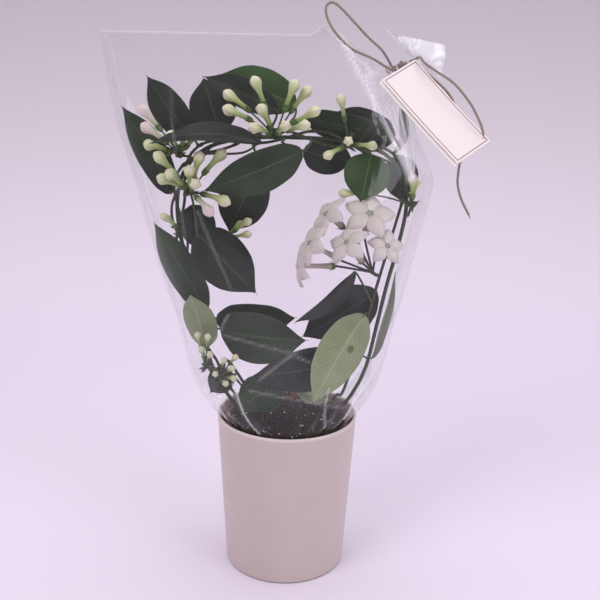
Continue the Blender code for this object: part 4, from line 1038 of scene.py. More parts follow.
leafShape = dict(along=26, across=9, evenness=0.35, thickness=0.00042, edgeThinning=0.55,
                 rib=(0.0008, 0.0011, 0.8), dip=(0.00035, 0.0009, 0.7),
                 edgeWave=0.030, edgeRoll=0.05, deeperFold=1.4, foldSoftness=0.03,
                 petioleRadius=0.00105, petioleSides=10, petioleFoot=1.25, dripSides=6,
                 drip=[(-0.0006, 0.0, 0.00040), (0.0010, 0.0, 0.00030), (0.0022, 0.0002, 0.00018),
                       (0.0032, 0.0006, 0.00005)],
                 sections=[(0.06, 0.46), (0.20, 0.85), (0.44, 1.0), (0.69, 0.85), (0.89, 0.40)],
                 outline=[(0.0, 0.05), (0.06, 0.46), (0.20, 0.85), (0.44, 1.0), (0.63, 0.90), (0.77, 0.67),
                          (0.86, 0.42), (0.92, 0.23), (0.965, 0.10), (1.0, 0.012)])
leafCount = 29
leafBack = {"leaf_18": spottedUnder}
midLeaves = (6, 10, 13, 14, 20, 25, 26, 27)
freshLeaves = (3, 12, 19, 23, 28)


def leafRings(node):
    # the solid's rings of six points from its tip to its stem end
    body = bmesh.new()
    body.from_mesh(node.data)
    bmesh.ops.remove_doubles(body, verts=body.verts, dist=0.00002)
    body.verts.index_update()
    points = [v.co.copy() for v in body.verts]
    links = [{e.other_vert(v).index for e in v.link_edges} for v in body.verts]
    body.free()
    order = sorted(range(len(points)), key=lambda i: -max((points[i] - p).length for p in points))
    for start in order:
        seed = sorted(range(len(points)), key=lambda i: (points[i] - points[start]).length)[:6]
        layers, seen = [seed], set(seed)
        while len(seen) < len(points):
            ahead = {k for i in layers[-1] for k in links[i]} - seen
            if len(ahead) != 6:
                break
            layers.append(sorted(ahead))
            seen |= ahead
        if len(seen) == len(points):
            rings = [[points[i] for i in layer] for layer in layers]
            if max((a - b).length for a in rings[1] for b in rings[1]) > 0.003:
                return rings
    raise RuntimeError(node.name + " has no readable rings")


def middleOf(points):
    return sum(points, Vector()) / len(points)


def leafSection(ring, nearLeft):
    # the left edge, the middle and the right edge of one section
    rest, pairs = list(ring), []
    while rest:
        first = rest.pop(0)
        mate = min(rest, key=lambda p: (p - first).length)
        rest.remove(mate)
        pairs.append((first + mate) / 2)
    centre = min(pairs, key=lambda p: sum((p - q).length for q in pairs))
    edges = [p for p in pairs if p is not centre]
    if nearLeft is not None and (edges[0] - nearLeft).length > (edges[1] - nearLeft).length:
        edges.reverse()
    return edges[0], centre, edges[1]


def outlineWidth(s):
    # the squared widths run smoothly, which rounds the blade's foot and its shoulders
    rows = [(share, width ** 2) for share, width in leafShape["outline"]]
    grades = [(w1 - w0) / (s1 - s0) for (s0, w0), (s1, w1) in zip(rows, rows[1:])]
    i = max(k for k in range(len(grades)) if rows[k][0] <= s + 1e-9)
    slopes = []
    for k in (i, i + 1):
        if k in (0, len(grades)):
            slopes.append(grades[i] * 1.2)
        else:
            left, right = grades[k - 1], grades[k]
            slopes.append(0.0 if left * right <= 0 else 2 * left * right / (left + right))
    span = rows[i + 1][0] - rows[i][0]
    square = hermite(rows[i][1], slopes[0] * span, rows[i + 1][1], slopes[1] * span, (s - rows[i][0]) / span)
    return max(square, 0.0001) ** 0.5


def leafFrame(rings):
    # the solid's middle line, its way across, its fold and its half width, and its places along
    shares = [0.0] + [share for share, _ in leafShape["sections"]] + [1.0]
    centres, sides, folds, halves = [middleOf(rings[6])], [], [], []
    left = None
    for ring, (_, width) in zip(rings[5:0:-1], leafShape["sections"]):
        left, centre, right = leafSection(ring, left)
        half = (right - left).length / 2
        centres.append(centre)
        sides.append((right - left).normalized())
        folds.append(((left + right) / 2 - centre) / half)
        halves.append(half / width)
    centres.append(middleOf(rings[0]))
    sides = [sides[0]] + sides + [sides[-1]]
    folds = [folds[0]] + folds + [folds[-1]]
    return shares, centres, sides, folds, sum(halves) / len(halves)


def creaseHeight(across, s, height, width, fading):
    # the midrib or its groove, which fades toward the tip
    return height * exp(-(across / width) ** 2) * (1 - fading * s)


def bladeRows(shares, centres, sides, folds, half, phase):
    # rows of points on the upper and the under side, from the foot to the tip
    shape = leafShape
    top, under, uvRows = [], [], []
    for k in range(shape["along"] + 1):
        s = k / shape["along"]
        s = mix(0.5 - 0.5 * cos(pi * s), s, shape["evenness"])
        centre = smoothRow(shares, centres, s)
        side = smoothRow(shares, sides, s).normalized()
        rise = smoothRow(shares, folds, s)
        ahead = smoothRow(shares, centres, min(s + 0.01, 1)) - smoothRow(shares, centres, max(s - 0.01, 0))
        normal = side.cross(ahead.normalized())
        if normal.dot(rise) < 0:
            normal = -normal
        width = half * outlineWidth(s)
        rows = ([], [], [])
        for i in range(-shape["across"], shape["across"] + 1):
            v = sin(pi / 2 * i / shape["across"])
            soft = shape["foldSoftness"]
            fold = ((v * v + soft) ** 0.5 - soft ** 0.5) * rise.length * width * shape["deeperFold"]
            wave = sin(s * 9.0 + phase + (1.3 if v > 0 else 0)) * ease(s * 4)
            wave *= shape["edgeWave"] * half * abs(v) ** 3
            roll = shape["edgeRoll"] * width * v ** 6
            point = centre + side * (v * width) + normal * (fold + wave - roll)
            rib = creaseHeight(v * width, s, *shape["rib"])
            dip = creaseHeight(v * width, s, *shape["dip"])
            thin = shape["thickness"] * (1 - shape["edgeThinning"] * abs(v) ** 4)
            rows[0].append(point + normal * (thin / 2 - dip))
            rows[1].append(point - normal * (thin / 2 + rib))
            rows[2].append((s, v * 0.5 + 0.5))
        top.append(rows[0])
        under.append(rows[1])
        uvRows.append(rows[2])
    return top, under, uvRows


def makeLeaf(index):
    name = f"leaf_{index:02d}"
    shape = leafShape
    rings = leafRings(nodes[name])
    shares, centres, sides, folds, half = leafFrame(rings)
    foot, tip = centres[0], centres[-1]
    sheaf = Sheaf()
    sheaf.twoSheets(*bladeRows(shares, centres, sides, folds, half, index * 1.7), 1)
    ahead = (smoothRow(shares, centres, 0.05) - foot).normalized()
    petiole = curveThrough([middleOf(rings[8]), middleOf(rings[7]), foot, foot + ahead * 0.004], 0.0015)
    radii = [shape["petioleRadius"] * (1.12 - 0.32 * i / len(petiole)) for i in range(len(petiole))]
    radii[0] *= shape["petioleFoot"]
    sheaf.tube(petiole, radii, shape["petioleSides"], 2)
    # a fine drip point past the tip
    forward = (tip - smoothRow(shares, centres, 0.94)).normalized()
    drip = [tip + forward * reach - up * drop for reach, drop, _ in shape["drip"]]
    sheaf.tube(drip, [radius for _, _, radius in shape["drip"]], shape["dripSides"])
    tone = 1 if index in midLeaves else 2 if index in freshLeaves else 0
    leaf = sheaf.made(name + "_blade", [leafTones[tone], leafBack.get(name, paleUnder), pedicelSkin])
    dress(leaf, "leaf", name)


for index in range(1, leafCount + 1):
    makeLeaf(index)
print("leaves done")


# Buds: sprays of waxy five-sided clubs, each on its pedicel

sprays = {
    "spray_left_upper": dict(vine="vine_right", hub=(-99, -14, 402), size=1.0, blush=(0, 1), buds=[
        (-135, -8, 444), (-133, -12, 429), (-131, -14, 412), (-108, -14, 424), (-93, -12, 425),
        (-80, -4, 424)]),
    "spray_left_main": dict(vine="vine_middle", hub=(-90, -13, 369), size=1.05, blush=(4,), buds=[
        (-120, -25, 406), (-109, -31, 391), (-88, -38, 396), (-81, -43, 383), (-68, -40, 354),
        (-53, -30, 363), (-79, -26, 408), (-58, -19, 409), (-118, -26, 385)]),
    "spray_top": dict(vine="vine_left", hub=(-15, -9, 419), size=1.0, buds=[
        (-35, -15, 472), (-60, -18, 459), (-60, -28, 446), (-29, -30, 449), (-36, -38, 431), (3, -13, 470),
        (15, -4, 464), (15, -38, 434), (-4, -40, 434), (24, -22, 446)]),
    "spray_top_right": dict(vine="vine_left", hub=(50, -9, 413), size=0.85, buds=[
        (74, -24, 415), (28, -28, 405), (48, -36, 421), (40, -20, 459)]),
    "spray_right": dict(vine="vine_left", hub=(108, -11, 362), size=0.85, buds=[
        (107, -18, 392), (112, -9, 387), (42, -14, 372)]),
    "spray_left_low": dict(vine="vine_left", hub=(-99, -10, 332), size=0.7, buds=[
        (-117, -16, 350), (-115, -4, 346)]),
    "spray_inner_left": dict(vine="vine_middle", hub=(-62, 2, 322), size=0.75, buds=[
        (-36, 0, 344), (-35, -8, 332), (-44, 10, 340)]),
    "spray_low_left_1": dict(vine="vine_left", hub=(-77, -17, 205), size=0.66, buds=[
        (-84, -27, 243), (-73, -35, 244), (-80, -34, 231), (-70, -41, 228)]),
    "spray_low_left_2": dict(vine="vine_middle", hub=(-65, -17, 192), size=0.62, buds=[
        (-57, -44, 224), (-46, -41, 226), (-48, -48, 217), (-47, -45, 205), (-66, -44, 209),
        (-55, -45, 199)]),
}
budShape = dict(length=0.030, steps=26, sides=20, pedicel=0.0008, stalk=0.0011, hub=0.0021,
                calyxSteps=6, calyxWaves=0.05, foldsLow=0.03, foldsMore=0.11, spiral=1.0,
                bracts=15, bractLength=0.0085, bractRadii=[0.0010, 0.0013, 0.0007, 0.0001],
                stubs=4, stubLength=0.013, stubRadii=[0.0008] * 6 + [0.0012, 0.0013, 0.0004],
                nearHoop=0.012, offHoop=0.2, sink=0.4,
                profile=[(0.00, 0.0009), (0.03, 0.0018), (0.07, 0.0025), (0.13, 0.0026), (0.17, 0.0023),
                         (0.30, 0.0021), (0.46, 0.0022), (0.57, 0.0028), (0.66, 0.0038), (0.74, 0.0046),
                         (0.82, 0.0049), (0.89, 0.0044), (0.94, 0.0033), (0.975, 0.0021), (1.00, 0.0007)])
sepalShape = [(0, 0.0011), (0.45, 0.0010), (0.8, 0.0005), (1.0, 0.0001)]


def bowedPath(start, lean, end, steps):
    mid = start + lean.normalized() * (end - start).length * 0.45
    shares = [k / steps for k in range(steps + 1)]
    return [start * (1 - t) ** 2 + mid * 2 * t * (1 - t) + end * t * t for t in shares]


def hoopSide(place):
    nearest = min(hoopLine, key=lambda p: (p - place).length_squared)
    offset = place - nearest
    return offset.normalized() if offset.length < budShape["nearHoop"] else None


def stalkFrom(place, line):
    # a stalk from the skin of its vine to a place, on the side away from the wire
    found = []
    for i in range(2, len(line) - 1):
        heading = (line[i + 1] - line[i - 1]).normalized()
        out = place - line[i]
        distance = out.length
        out = (out - heading * out.dot(heading)).normalized()
        away = hoopSide(line[i])
        if away is None or out.dot(away) >= budShape["offHoop"]:
            found.append((distance, i, line[i], out))
    _, _, spot, out = min(found, key=lambda row: row[0])
    return bowedPath(spot + out * (vineShape["radius"] * budShape["sink"]), out, place, 14)


def roundHub(sheaf, centre, radius):
    rings = []
    for k in range(1, 8):
        a = pi * k / 8
        rings.append([centre + p for p in circle(radius * sin(a), 12, -radius * cos(a))])
    sheaf.rings(rings)


def sepalPoints(sheaf, low, high, radius, seed, length=0.0028, spread=0.0004):
    # five short pointed sepals, which hug the tube or spread a little
    axis = (high - low).normalized()
    side = axis.orthogonal().normalized()
    over = axis.cross(side)
    for k in range(5):
        a = radians(72 * k + seed * 31)
        out = cos(a) * side + sin(a) * over
        flat = axis.cross(out)
        base = low + out * radius * 0.92
        rings = []
        for t, wide in sepalShape:
            centre = base + axis * (length * t) + out * (0.0003 + spread * t * t)
            thick = out * 0.00022
            rings.append([centre + flat * wide, centre + thick, centre - flat * wide, centre - thick])
        sheaf.rings(rings, 1)


def addBud(sheaf, hub, tip, size, seed, blush):
    b, n = budShape, budShape["steps"]
    lean = (tip - hub).normalized() * 0.8 + up * 0.25 + viewer * 0.1
    path = bowedPath(hub, lean, tip, 24)
    total = pathLength(path)
    bud = min(b["length"] * size, total * 0.8)
    start = total - bud
    stem = [along(path, start * k / 7) for k in range(8)] + [along(path, start + bud * 0.03)]
    sheaf.tube(stem, [b["pedicel"] * (1.05 - 0.15 * k / 8) for k in range(9)], 8)
    shares, radii = zip(*b["profile"])
    fine = [k / n for k in range(n + 1)]
    sizes = [float(r) for r in np.interp(fine, shares, radii)]
    inner = [0.25 * sizes[i - 1] + 0.5 * sizes[i] + 0.25 * sizes[i + 1] for i in range(1, n)]
    sizes = [radii[0], *inner, radii[-1]]
    cut = b["calyxSteps"]
    spots = [along(path, start + bud * t) for t in fine]
    calyx = [r * size * 1.02 for r in sizes[:cut + 1]]
    sheaf.rings(tubeRings(spots[:cut + 1], calyx, b["sides"], b["calyxWaves"]), 1)
    club, fromFoot = [r * size * 0.98 for r in sizes[cut - 1:]], fine[cut - 1:]
    waves = [b["foldsLow"] + b["foldsMore"] * ease((t - 0.55) / 0.25) for t in fromFoot]
    rings = tubeRings(spots[cut - 1:], club, b["sides"], waves, b["spiral"])
    sheaf.rings(rings, 3 if blush else 2, fromFoot)
    sepalPoints(sheaf, spots[cut - 2], spots[cut + 2], sizes[cut - 1] * size, seed)


def addBracts(sheaf, hub, seed):
    # a tuft of small dark points where the pedicels part, and a few bare stubs
    rng = np.random.default_rng(seed + 40)
    for _ in range(budShape["bracts"]):
        lean = Vector(rng.normal(size=3).tolist()) + up * 0.7 + viewer * 0.5
        end = hub + lean.normalized() * budShape["bractLength"] * float(0.6 + 0.5 * rng.random())
        sheaf.tube([hub.lerp(end, t) for t in (0.1, 0.5, 0.8, 1.0)], budShape["bractRadii"], 6)
    for _ in range(budShape["stubs"]):
        lean = Vector(rng.normal(size=3).tolist()) * 0.8 + up * 0.9 + viewer * 0.3
        end = hub + lean.normalized() * budShape["stubLength"] * float(0.7 + 0.5 * rng.random())
        sheaf.tube(bowedPath(hub, up + lean * 0.3, end, 8), budShape["stubRadii"], 7)


for seed, (sprayName, plan) in enumerate(sprays.items()):
    sheaf = Sheaf()
    hub = mm(*plan["hub"])
    stalk = stalkFrom(hub, vineLines[plan["vine"]])
    sheaf.tube(stalk, [budShape["stalk"] * (1.15 - 0.2 * i / len(stalk)) for i in range(len(stalk))], 10)
    roundHub(sheaf, hub, budShape["hub"] * 0.85)
    addBracts(sheaf, hub, seed)
    for k, tip in enumerate(mmRows(plan["buds"])):
        addBud(sheaf, hub, tip, plan["size"], seed + k, k in plan.get("blush", ()))
    dress(sheaf.made(sprayName + "_buds", [pedicelSkin, calyxSkin, budSurface, blushBud]), "bud", sprayName)
print("sprays done")


# Flowers: five waxy lobes on a long tube

flowerHub = (76, -14, 300)
spentPedicel = (60, -20, 330)
flowers = {
    "flower_1": dict(calyx=(40, -22, 307), face=(8, -27, 308), spin=18, size=0.92, droop=0.8),
    "flower_2": dict(calyx=(43, -30, 316), face=(17, -44, 333), spin=54, size=0.88, droop=1.0),
    "flower_3": dict(calyx=(47, -16, 342), face=(31, -24, 355), spin=0, size=0.92, droop=1.0),
    "flower_4": dict(calyx=(68, -3, 334), face=(70, -26, 357), spin=22, size=1.08, droop=0.8),
    "flower_5": dict(calyx=(65, -28, 313), face=(49, -47, 335), spin=30, size=0.90, droop=1.0),
    "flower_6": dict(calyx=(79, -14, 317), face=(86, -36, 330), spin=0, size=0.80, droop=1.0),
}
flowerShape = dict(along=18, across=7, lobeLength=0.0222, lobeHalf=0.0077, tipHalf=0.0003, throat=0.0027,
                   thickness=0.0010, crown=0.0013, cup=0.00056,
                   droop=0.0038, curl=0.0024, aside=0.0022, twist=0.0016,
                   groove=0.00035, grooveWidth=0.16, overlap=0.0007, tipHook=0.0192, hookFrom=0.75,
                   tubeSteps=21, tubeSides=15, tubeWaves=0.03, tubeShare=0.24, lobeFrom=0.27,
                   tube=[(0.0, 0.0026), (0.10, 0.0032), (0.24, 0.0028), (0.45, 0.0024), (0.80, 0.0026),
                         (0.93, 0.0032), (1.0, 0.0041)],
                   # the third number in each hole row darkens the colour down into the throat: painted shade
                   hole=[(1.0, 0.0026, 0.26), (0.96, 0.0018, 0.20), (0.90, 0.0008, 0.14)],
                   cupPath=[(0.0, 0.0012), (0.3, 0.0027), (0.7, 0.0033), (1.0, 0.0031)])


def lobeWidth(t):
    # a lobe that is widest half-way out, with a point
    if t < 0.46:
        return 0.50 + 0.50 * ease(t / 0.46)
    return max(0.0, 1 - ((t - 0.46) / 0.54) ** 1.75) ** 0.85


def lobeSheets(face, facing, out, size, droop, bend, aside, twist):
    # the upper and the under side of one lobe; no two lobes bend quite alike
    f = flowerShape
    flat = facing.cross(out)
    length = f["lobeLength"] * size
    top, under, uvRows = [], [], []
    for i in range(f["along"] + 1):
        t = i / f["along"]
        reach = mix(f["throat"] * size, length, t)
        share = reach / length
        half = max(f["lobeHalf"] * size * lobeWidth(t), 0.0002) if i < f["along"] else f["tipHalf"]
        if t < 0.35:
            half = min(half, reach * 0.80)
        hook = f["tipHook"] * size * max(0, share - f["hookFrom"]) ** 2
        sag = -droop * (1 + 0.35 * bend) * share ** 2 - hook
        rows = ([], [])
        for j in range(-f["across"], f["across"] + 1):
            v = j / f["across"]
            rim = (1 - abs(v) ** 6) * (1 - t ** 12)
            crown = f["crown"] * (1 - v * v) * sin(pi * min(t * 1.1, 1)) - f["cup"] * v * v * v
            groove = f["groove"] * exp(-(v / f["grooveWidth"]) ** 2) * sin(pi * t)
            turned = (f["overlap"] * v * (1 - t) - f["curl"] * v * v * t + f["twist"] * twist * v * t) * size
            thick = f["thickness"] * 0.5 * (0.25 + 0.75 * rim)
            spot = face + out * reach + flat * (v * half + f["aside"] * aside * t * t * size)
            for row, side in zip(rows, (thick, -thick)):
                row.append(spot + facing * (sag + crown - groove + turned + side))
        top.append(rows[0])
        under.append(rows[1])
        alongUv = mix(f["lobeFrom"], 1.0, t)
        uvRows.append([(alongUv, j / (2 * f["across"])) for j in range(2 * f["across"] + 1)])
    return top, under, uvRows


def makeFlower(name, plan):
    f, size = flowerShape, plan["size"]
    calyx, face = mm(*plan["calyx"]), mm(*plan["face"])
    facing = (face - calyx).normalized()
    side = facing.orthogonal().normalized()
    over = facing.cross(side)
    droop = f["droop"] * size * plan["droop"]
    sheaf = Sheaf()
    rng = np.random.default_rng(int(name[-1]))
    for k in range(5):
        bend, aside, twist = (float(v) for v in rng.uniform(-1, 1, 3))
        a = radians(plan["spin"] + 72 * k + 3 * aside)
        out = cos(a) * side + sin(a) * over
        sheaf.twoSheets(*lobeSheets(face, facing, out, size, droop, bend, aside, twist))
    shares, radii = zip(*f["tube"])
    fine = [k / f["tubeSteps"] for k in range(f["tubeSteps"] + 1)]
    sizes = [float(r) * size for r in np.interp(fine, shares, radii)]
    tube = [calyx.lerp(face - facing * 0.0002, t) for t in fine]
    hole = [calyx.lerp(face, t) for t, _, _ in f["hole"]]
    rings = tubeRings(tube, sizes, f["tubeSides"], f["tubeWaves"])
    rings += tubeRings(hole, [r * size for _, r, _ in f["hole"]], f["tubeSides"])
    # the hole's rings take darker colours deeper in, a painted shade in the throat
    sheaf.rings(rings, 0, [t * f["tubeShare"] for t in fine] + [shade for _, _, shade in f["hole"]])
    sepalPoints(sheaf, calyx - facing * 0.0008, calyx + facing * 0.004, 0.0028 * size, 3, 0.0048, 0.0024)
    cup = [calyx + facing * (0.0030 * t - 0.0010) for t, _ in f["cupPath"]]
    radii = [r * size for _, r in f["cupPath"]]
    radii[0] = f["cupPath"][0][1]
    sheaf.tube(cup, radii, f["tubeSides"], 1)
    dress(sheaf.made(name + "_bloom", [petal, calyxSkin]), "petal", name)


flowerStalkShape = dict(radius=0.0017, sides=10, pedicel=0.00105, pedicelEnd=[0.0012, 0.0014],
                        pedicelSides=8, step=0.0018, spentRadii=[0.0008] * 8 + [0.0015, 0.0012, 0.0004])


def makeFlowerStalk():
    # the stalk, a pedicel to each flower, and a spent one
    s = flowerStalkShape
    sheaf = Sheaf()
    hub, spent = mm(*flowerHub), mm(*spentPedicel)
    stalk = stalkFrom(hub, vineLines["vine_right"])
    sheaf.tube(stalk, [s["radius"]] * len(stalk), s["sides"])
    roundHub(sheaf, hub, budShape["hub"])
    for plan in flowers.values():
        calyx = mm(*plan["calyx"])
        facing = (mm(*plan["face"]) - calyx).normalized()
        end = calyx - facing * 0.0006
        middle = hub.lerp(end, 0.55) - facing * (end - hub).length * 0.08
        path = curveThrough([hub, middle, end - facing * 0.003, end], s["step"])
        sheaf.tube(path, [s["pedicel"]] * (len(path) - 2) + s["pedicelEnd"], s["pedicelSides"])
    path = [hub.lerp(spent, k / 9) + viewer * (0.0012 * sin(pi * k / 9)) for k in range(10)]
    path.append(spent + (spent - hub) * 0.02)
    sheaf.tube(path, s["spentRadii"], s["pedicelSides"])
    dress(sheaf.made("flowerStalkAndPedicels", [flowerPedicelSkin]), "bud", "flower_stalk")


for flowerName, plan in flowers.items():
    makeFlower(flowerName, plan)
makeFlowerStalk()
print("flowers done")


# Knot, thread and tag

neck = dict(centre=(0.100, -0.001, 0.478), headingDeg=48, ringRadius=0.01065, turnSpacing=0.0032, steps=60)
knotShape = dict(place=(94, -10.8, 483.4), side=(0.94, 0, 0.34), halfLength=0.0046, wrapRadius=0.0020,
                 wraps=3.2, steps=60, coreStep=0.0015, fibres=40, fibreLength=0.0012, fibreSeed=20)
tagShape = dict(corner=(74, -38, 472), long=(0.64, -0.40, -0.66), short=(0.80, 0.45, 0.38), length=0.096,
                width=0.039, ply=0.0006, slot=0.0012, overhang=0.0025, bow=0.0010, steps=12)
tagBorder = dict(long=tagShape["length"] * 1000, wide=tagShape["width"] * 1000, inset=2.2, width=0.50,
                 colour=(0.22, 0.10, 0.08))
threadShape = dict(radius=0.0004, sides=8, step=0.001, slotFrom=0.011, runs=(-0.006, 0.002, 0.008, 0.014),
                   start=[(92.8, -13.8, 480.6), (88, -22, 480), (82, -27, 483)])


def neckAxis():
    heading = radians(neck["headingDeg"])
    return Vector((cos(heading), 0, sin(heading)))


def makeKnot():
    k = knotShape
    axis, centre = neckAxis(), Vector(neck["centre"])
    side = viewer.cross(axis).normalized()
    paths = []
    for shift, phase in ((-0.5, 0.0), (0.5, 0.4)):
        # one turn round the neck
        ring = []
        for i in range(neck["steps"] + 1):
            a = 2 * pi * i / neck["steps"] + phase
            r = neck["ringRadius"] + 0.0002 * sin(5 * a)
            lift = neck["turnSpacing"] * shift + 0.0005 * sin(a * 2)
            ring.append(centre + axis * lift + r * (cos(a) * viewer + sin(a) * side))
        paths.append(ring)
    place, lie = mm(*k["place"]), Vector(k["side"]).normalized()
    out = (viewer - lie * viewer.dot(lie)).normalized()
    over = lie.cross(out)
    wrap = []
    for i in range(k["steps"]):
        t = i / (k["steps"] - 1)
        a = 2 * pi * k["wraps"] * t
        r = k["wrapRadius"] * (0.80 + 0.20 * sin(pi * t))
        spot = place + lie * (k["halfLength"] * (2 * t - 1) * 0.85)
        wrap.append(spot + r * (cos(a) * out + sin(a) * over))
    core = [place + lie * k["halfLength"] * t for t in (-1.0, -0.5, 0.0, 0.5, 1.0)]
    paths += [wrap, curveThrough(core, k["coreStep"])]
    fibres = []
    for i, path in enumerate(paths):
        fibres += looseFibres(path, k["fibres"], k["fibreSeed"] + i, k["fibreLength"])
    dress(grownTwine("knotOfTwine", paths, fibres), "jute", "twine_knot")


def tagFrame():
    corner = mm(*tagShape["corner"])
    long = Vector(tagShape["long"]).normalized()
    short = Vector(tagShape["short"])
    short = (short - long * short.dot(long)).normalized()
    return corner, long, short, short.cross(long)


def makeTag():
    # a card folded along its upper long side, with a soft round fold and a printed border
    t = tagShape
    corner, long, short, back = tagFrame()
    depth = t["ply"] * 2 + t["slot"]
    fold = t["width"] - depth / 2
    outer = [(0.0, 0.0), (fold, 0.0), *arc(fold, depth / 2, depth / 2, -70, 90, 9), (-t["overhang"], depth)]
    inner = [(-t["overhang"], depth - t["ply"]), (fold, depth - t["ply"]),
             *arc(fold, depth / 2, depth / 2 - t["ply"], 70, -90, 9), (0.0, t["ply"])]
    outline, n = outer + inner, len(outer + inner)
    points, uvs = [], []
    for k in range(t["steps"] + 1):
        run = t["length"] * k / t["steps"]
        bend = t["bow"] * (sin(pi * k / t["steps"]) - 0.5)
        for across, deep in outline:
            points.append(corner + long * run + short * across + back * (deep + bend))
            uvs.append((run * 1000, across * 1000))
    faces = [(a, d, c, b) for a, b, c, d in ringFaces(0, t["steps"] + 1, n)]
    slots = [0 if number % n == 0 else 1 for number in range(len(faces))]
    for base in (0, t["steps"] * n):
        # the ends are strips between the outer and the inner outline
        strip = [(base + i, base + i + 1, base + n - 2 - i, base + n - 1 - i) for i in range(len(outer) - 1)]
        faces += [face if base == 0 else face[::-1] for face in strip]
    slots += [1] * (len(faces) - len(slots))
    front = cardStock("tagFront", (0.80, 0.71, 0.725), tagBorder)
    plain = cardStock("tagCard", (0.84, 0.78, 0.75))
    card = faceOutward(meshObject("foldedTag", points, faces, [front, plain], slots, uvs, smooth=False))
    dress(card, "tag_card", "tag")


def makeThread():
    t = threadShape
    corner, long, short, back = tagFrame()
    slot = corner + short * t["slotFrom"] + back * (tagShape["ply"] + tagShape["slot"] / 2)
    path = curveThrough(mmRows(t["start"]) + [slot + long * run for run in t["runs"]], t["step"])
    thread = grownStem("tagThread", path, [t["radius"]] * len(path), t["sides"], brownThread)
    dress(thread, "thread", "tag_thread")


makeKnot()
makeTag()
makeThread()
print("knot and tag done")


# Film sleeve: one thin clear sheet, drawn together at its upper right corner

filmShape = dict(rows=170, columns=360, squareness=2.3, roundBelow=0.157, squareAbove=0.200,
                 topRise=0.030, topRiseAt=0.055, topRiseReach=0.045, topRiseAbove=0.430)
gatherShape = dict(at=(0.112, 0.470), halfLength=0.0075, reachBelow=0.050, reachAbove=0.020, squeeze=0.06,
                   flatness=0.10, rosetteReach=0.018, rosetteSpread=0.95, rosetteFlatness=0.40,
                   rosetteLength=0.66)
pleatShape = dict(height=0.0032, turns=19, rosetteTurns=8, reach=0.046, clearOfNeck=0.010, fadeIn=0.015,
                  rosetteFade=0.012, tuckHeight=0.0016, tuckAt=0.170, tuckReach=0.022, tucks=23,
                  tuckFrom=0.152, tuckFade=0.01, looseFrom=0.16, looseFade=0.05, buckle=0.0016,
                  ripple=0.0007, frontAbove=0.150, waverScales=((1.6, 9), (5, 26)))
# how white the film is painted: some for the milkiness of bunched and sealed film, most as painted
# highlights and painted reflection
filmMilkAndGlints = dict(haze=0.004, lowReflectionVeil=0.03, most=0.9, pleats=0.12, ridgeGlints=0.50, rosette=0.46,
                 rosetteRidgeGlints=0.30, topEdgeGlint=0.22, seamInset=0.0065, seamWidth=0.0006, seam=0.20,
                 sideGlintWidth=0.0009, side=0.14, weld=0.34, weldWidth=0.0018)
# folds in the front of the film: a line in x and z, its half width, its height in millimetres, its
# whiteness, which is a painted highlight along the fold
filmFolds = [
    ([(37, 508), (54, 478), (71, 449), (86, 420), (100, 391)], 1.7, 1.6, 0.58),
    ([(44, 512), (62, 478), (77, 449), (90, 420), (100, 391)], 0.9, 1.0, 0.30),
    ([(80, 449), (92, 418), (100, 391)], 1.9, 1.6, 0.80),
    ([(85, 450), (94, 419), (100, 391)], 1.3, 1.2, 0.66),
    ([(90, 449), (96, 419), (101, 391)], 1.9, 1.6, 0.85),
    ([(97, 446), (99, 418), (101, 391)], 1.3, 1.2, 0.66),
    ([(104, 436), (103, 414), (102, 391)], 1.8, 1.6, 0.72),
    ([(-77, 363), (-60, 325), (-48, 299)], 1.2, 0.9, 0.10),
    ([(-51, 275), (-63, 247)], 1.2, 0.9, 0.16),
    ([(11, 248), (-8, 231), (-24, 216)], 1.6, 0.9, 0.14),
    ([(-47, 210), (-42, 194), (-38, 180), (-31, 166), (-24, 158)], 1.1, 1.1, 0.52),
    ([(37, 207), (35, 195), (34, 180), (35, 164)], 0.8, 0.9, 0.36),
    ([(68, 206), (60, 191), (52, 172)], 1.2, 1.1, 0.65),
    ([(-63, 186), (-55, 168)], 1.0, 0.9, 0.40),
    ([(-54, 256), (2, 244), (29, 229)], 1.2, 0.6, 0.12),
    ([(-32, 205), (12, 198), (53, 186)], 1.4, 0.8, 0.16),
    ([(-104, 470), (-96, 400), (-88, 340)], 1.0, 0.6, 0.08),
    ([(120, 330), (112, 262), (92, 215)], 1.0, 0.8, 0.30),
    ([(127, 372), (119, 300)], 0.8, 0.6, 0.22),
]
# the sleeve's height, and how far it reaches to the left, the right, the front and the rear
filmStations = [
    (112, 59.4, 59.4, 59.4, 59.4), (132, 61.0, 61.0, 61.0, 61.0), (152, 62.6, 62.6, 62.6, 62.6),
    (161, 66.0, 65.5, 65.0, 64.0), (175, 79.0, 76.0, 69.5, 65.0), (200, 91.0, 88.0, 74.0, 62.0),
    (246, 102.0, 98.0, 78.0, 58.0), (294, 117.0, 108.5, 80.0, 56.0), (341, 131.0, 119.0, 78.0, 52.0),
    (391, 144.0, 129.0, 70.0, 47.0), (425, 154.0, 136.0, 57.0, 43.0), (455, 161.0, 143.0, 44.0, 38.0),
    (483, 165.0, 149.0, 32.0, 31.0), (507, 167.0, 153.0, 24.0, 25.0)]
filmLow, filmTop = filmStations[0][0] * 0.001, filmStations[-1][0] * 0.001


def filmSection(z):
    # the four reaches at one height
    reaches = [np.array(row[1:]) * 0.001 for row in filmStations]
    return smoothRow([row[0] for row in filmStations], reaches, z * 1000).tolist()


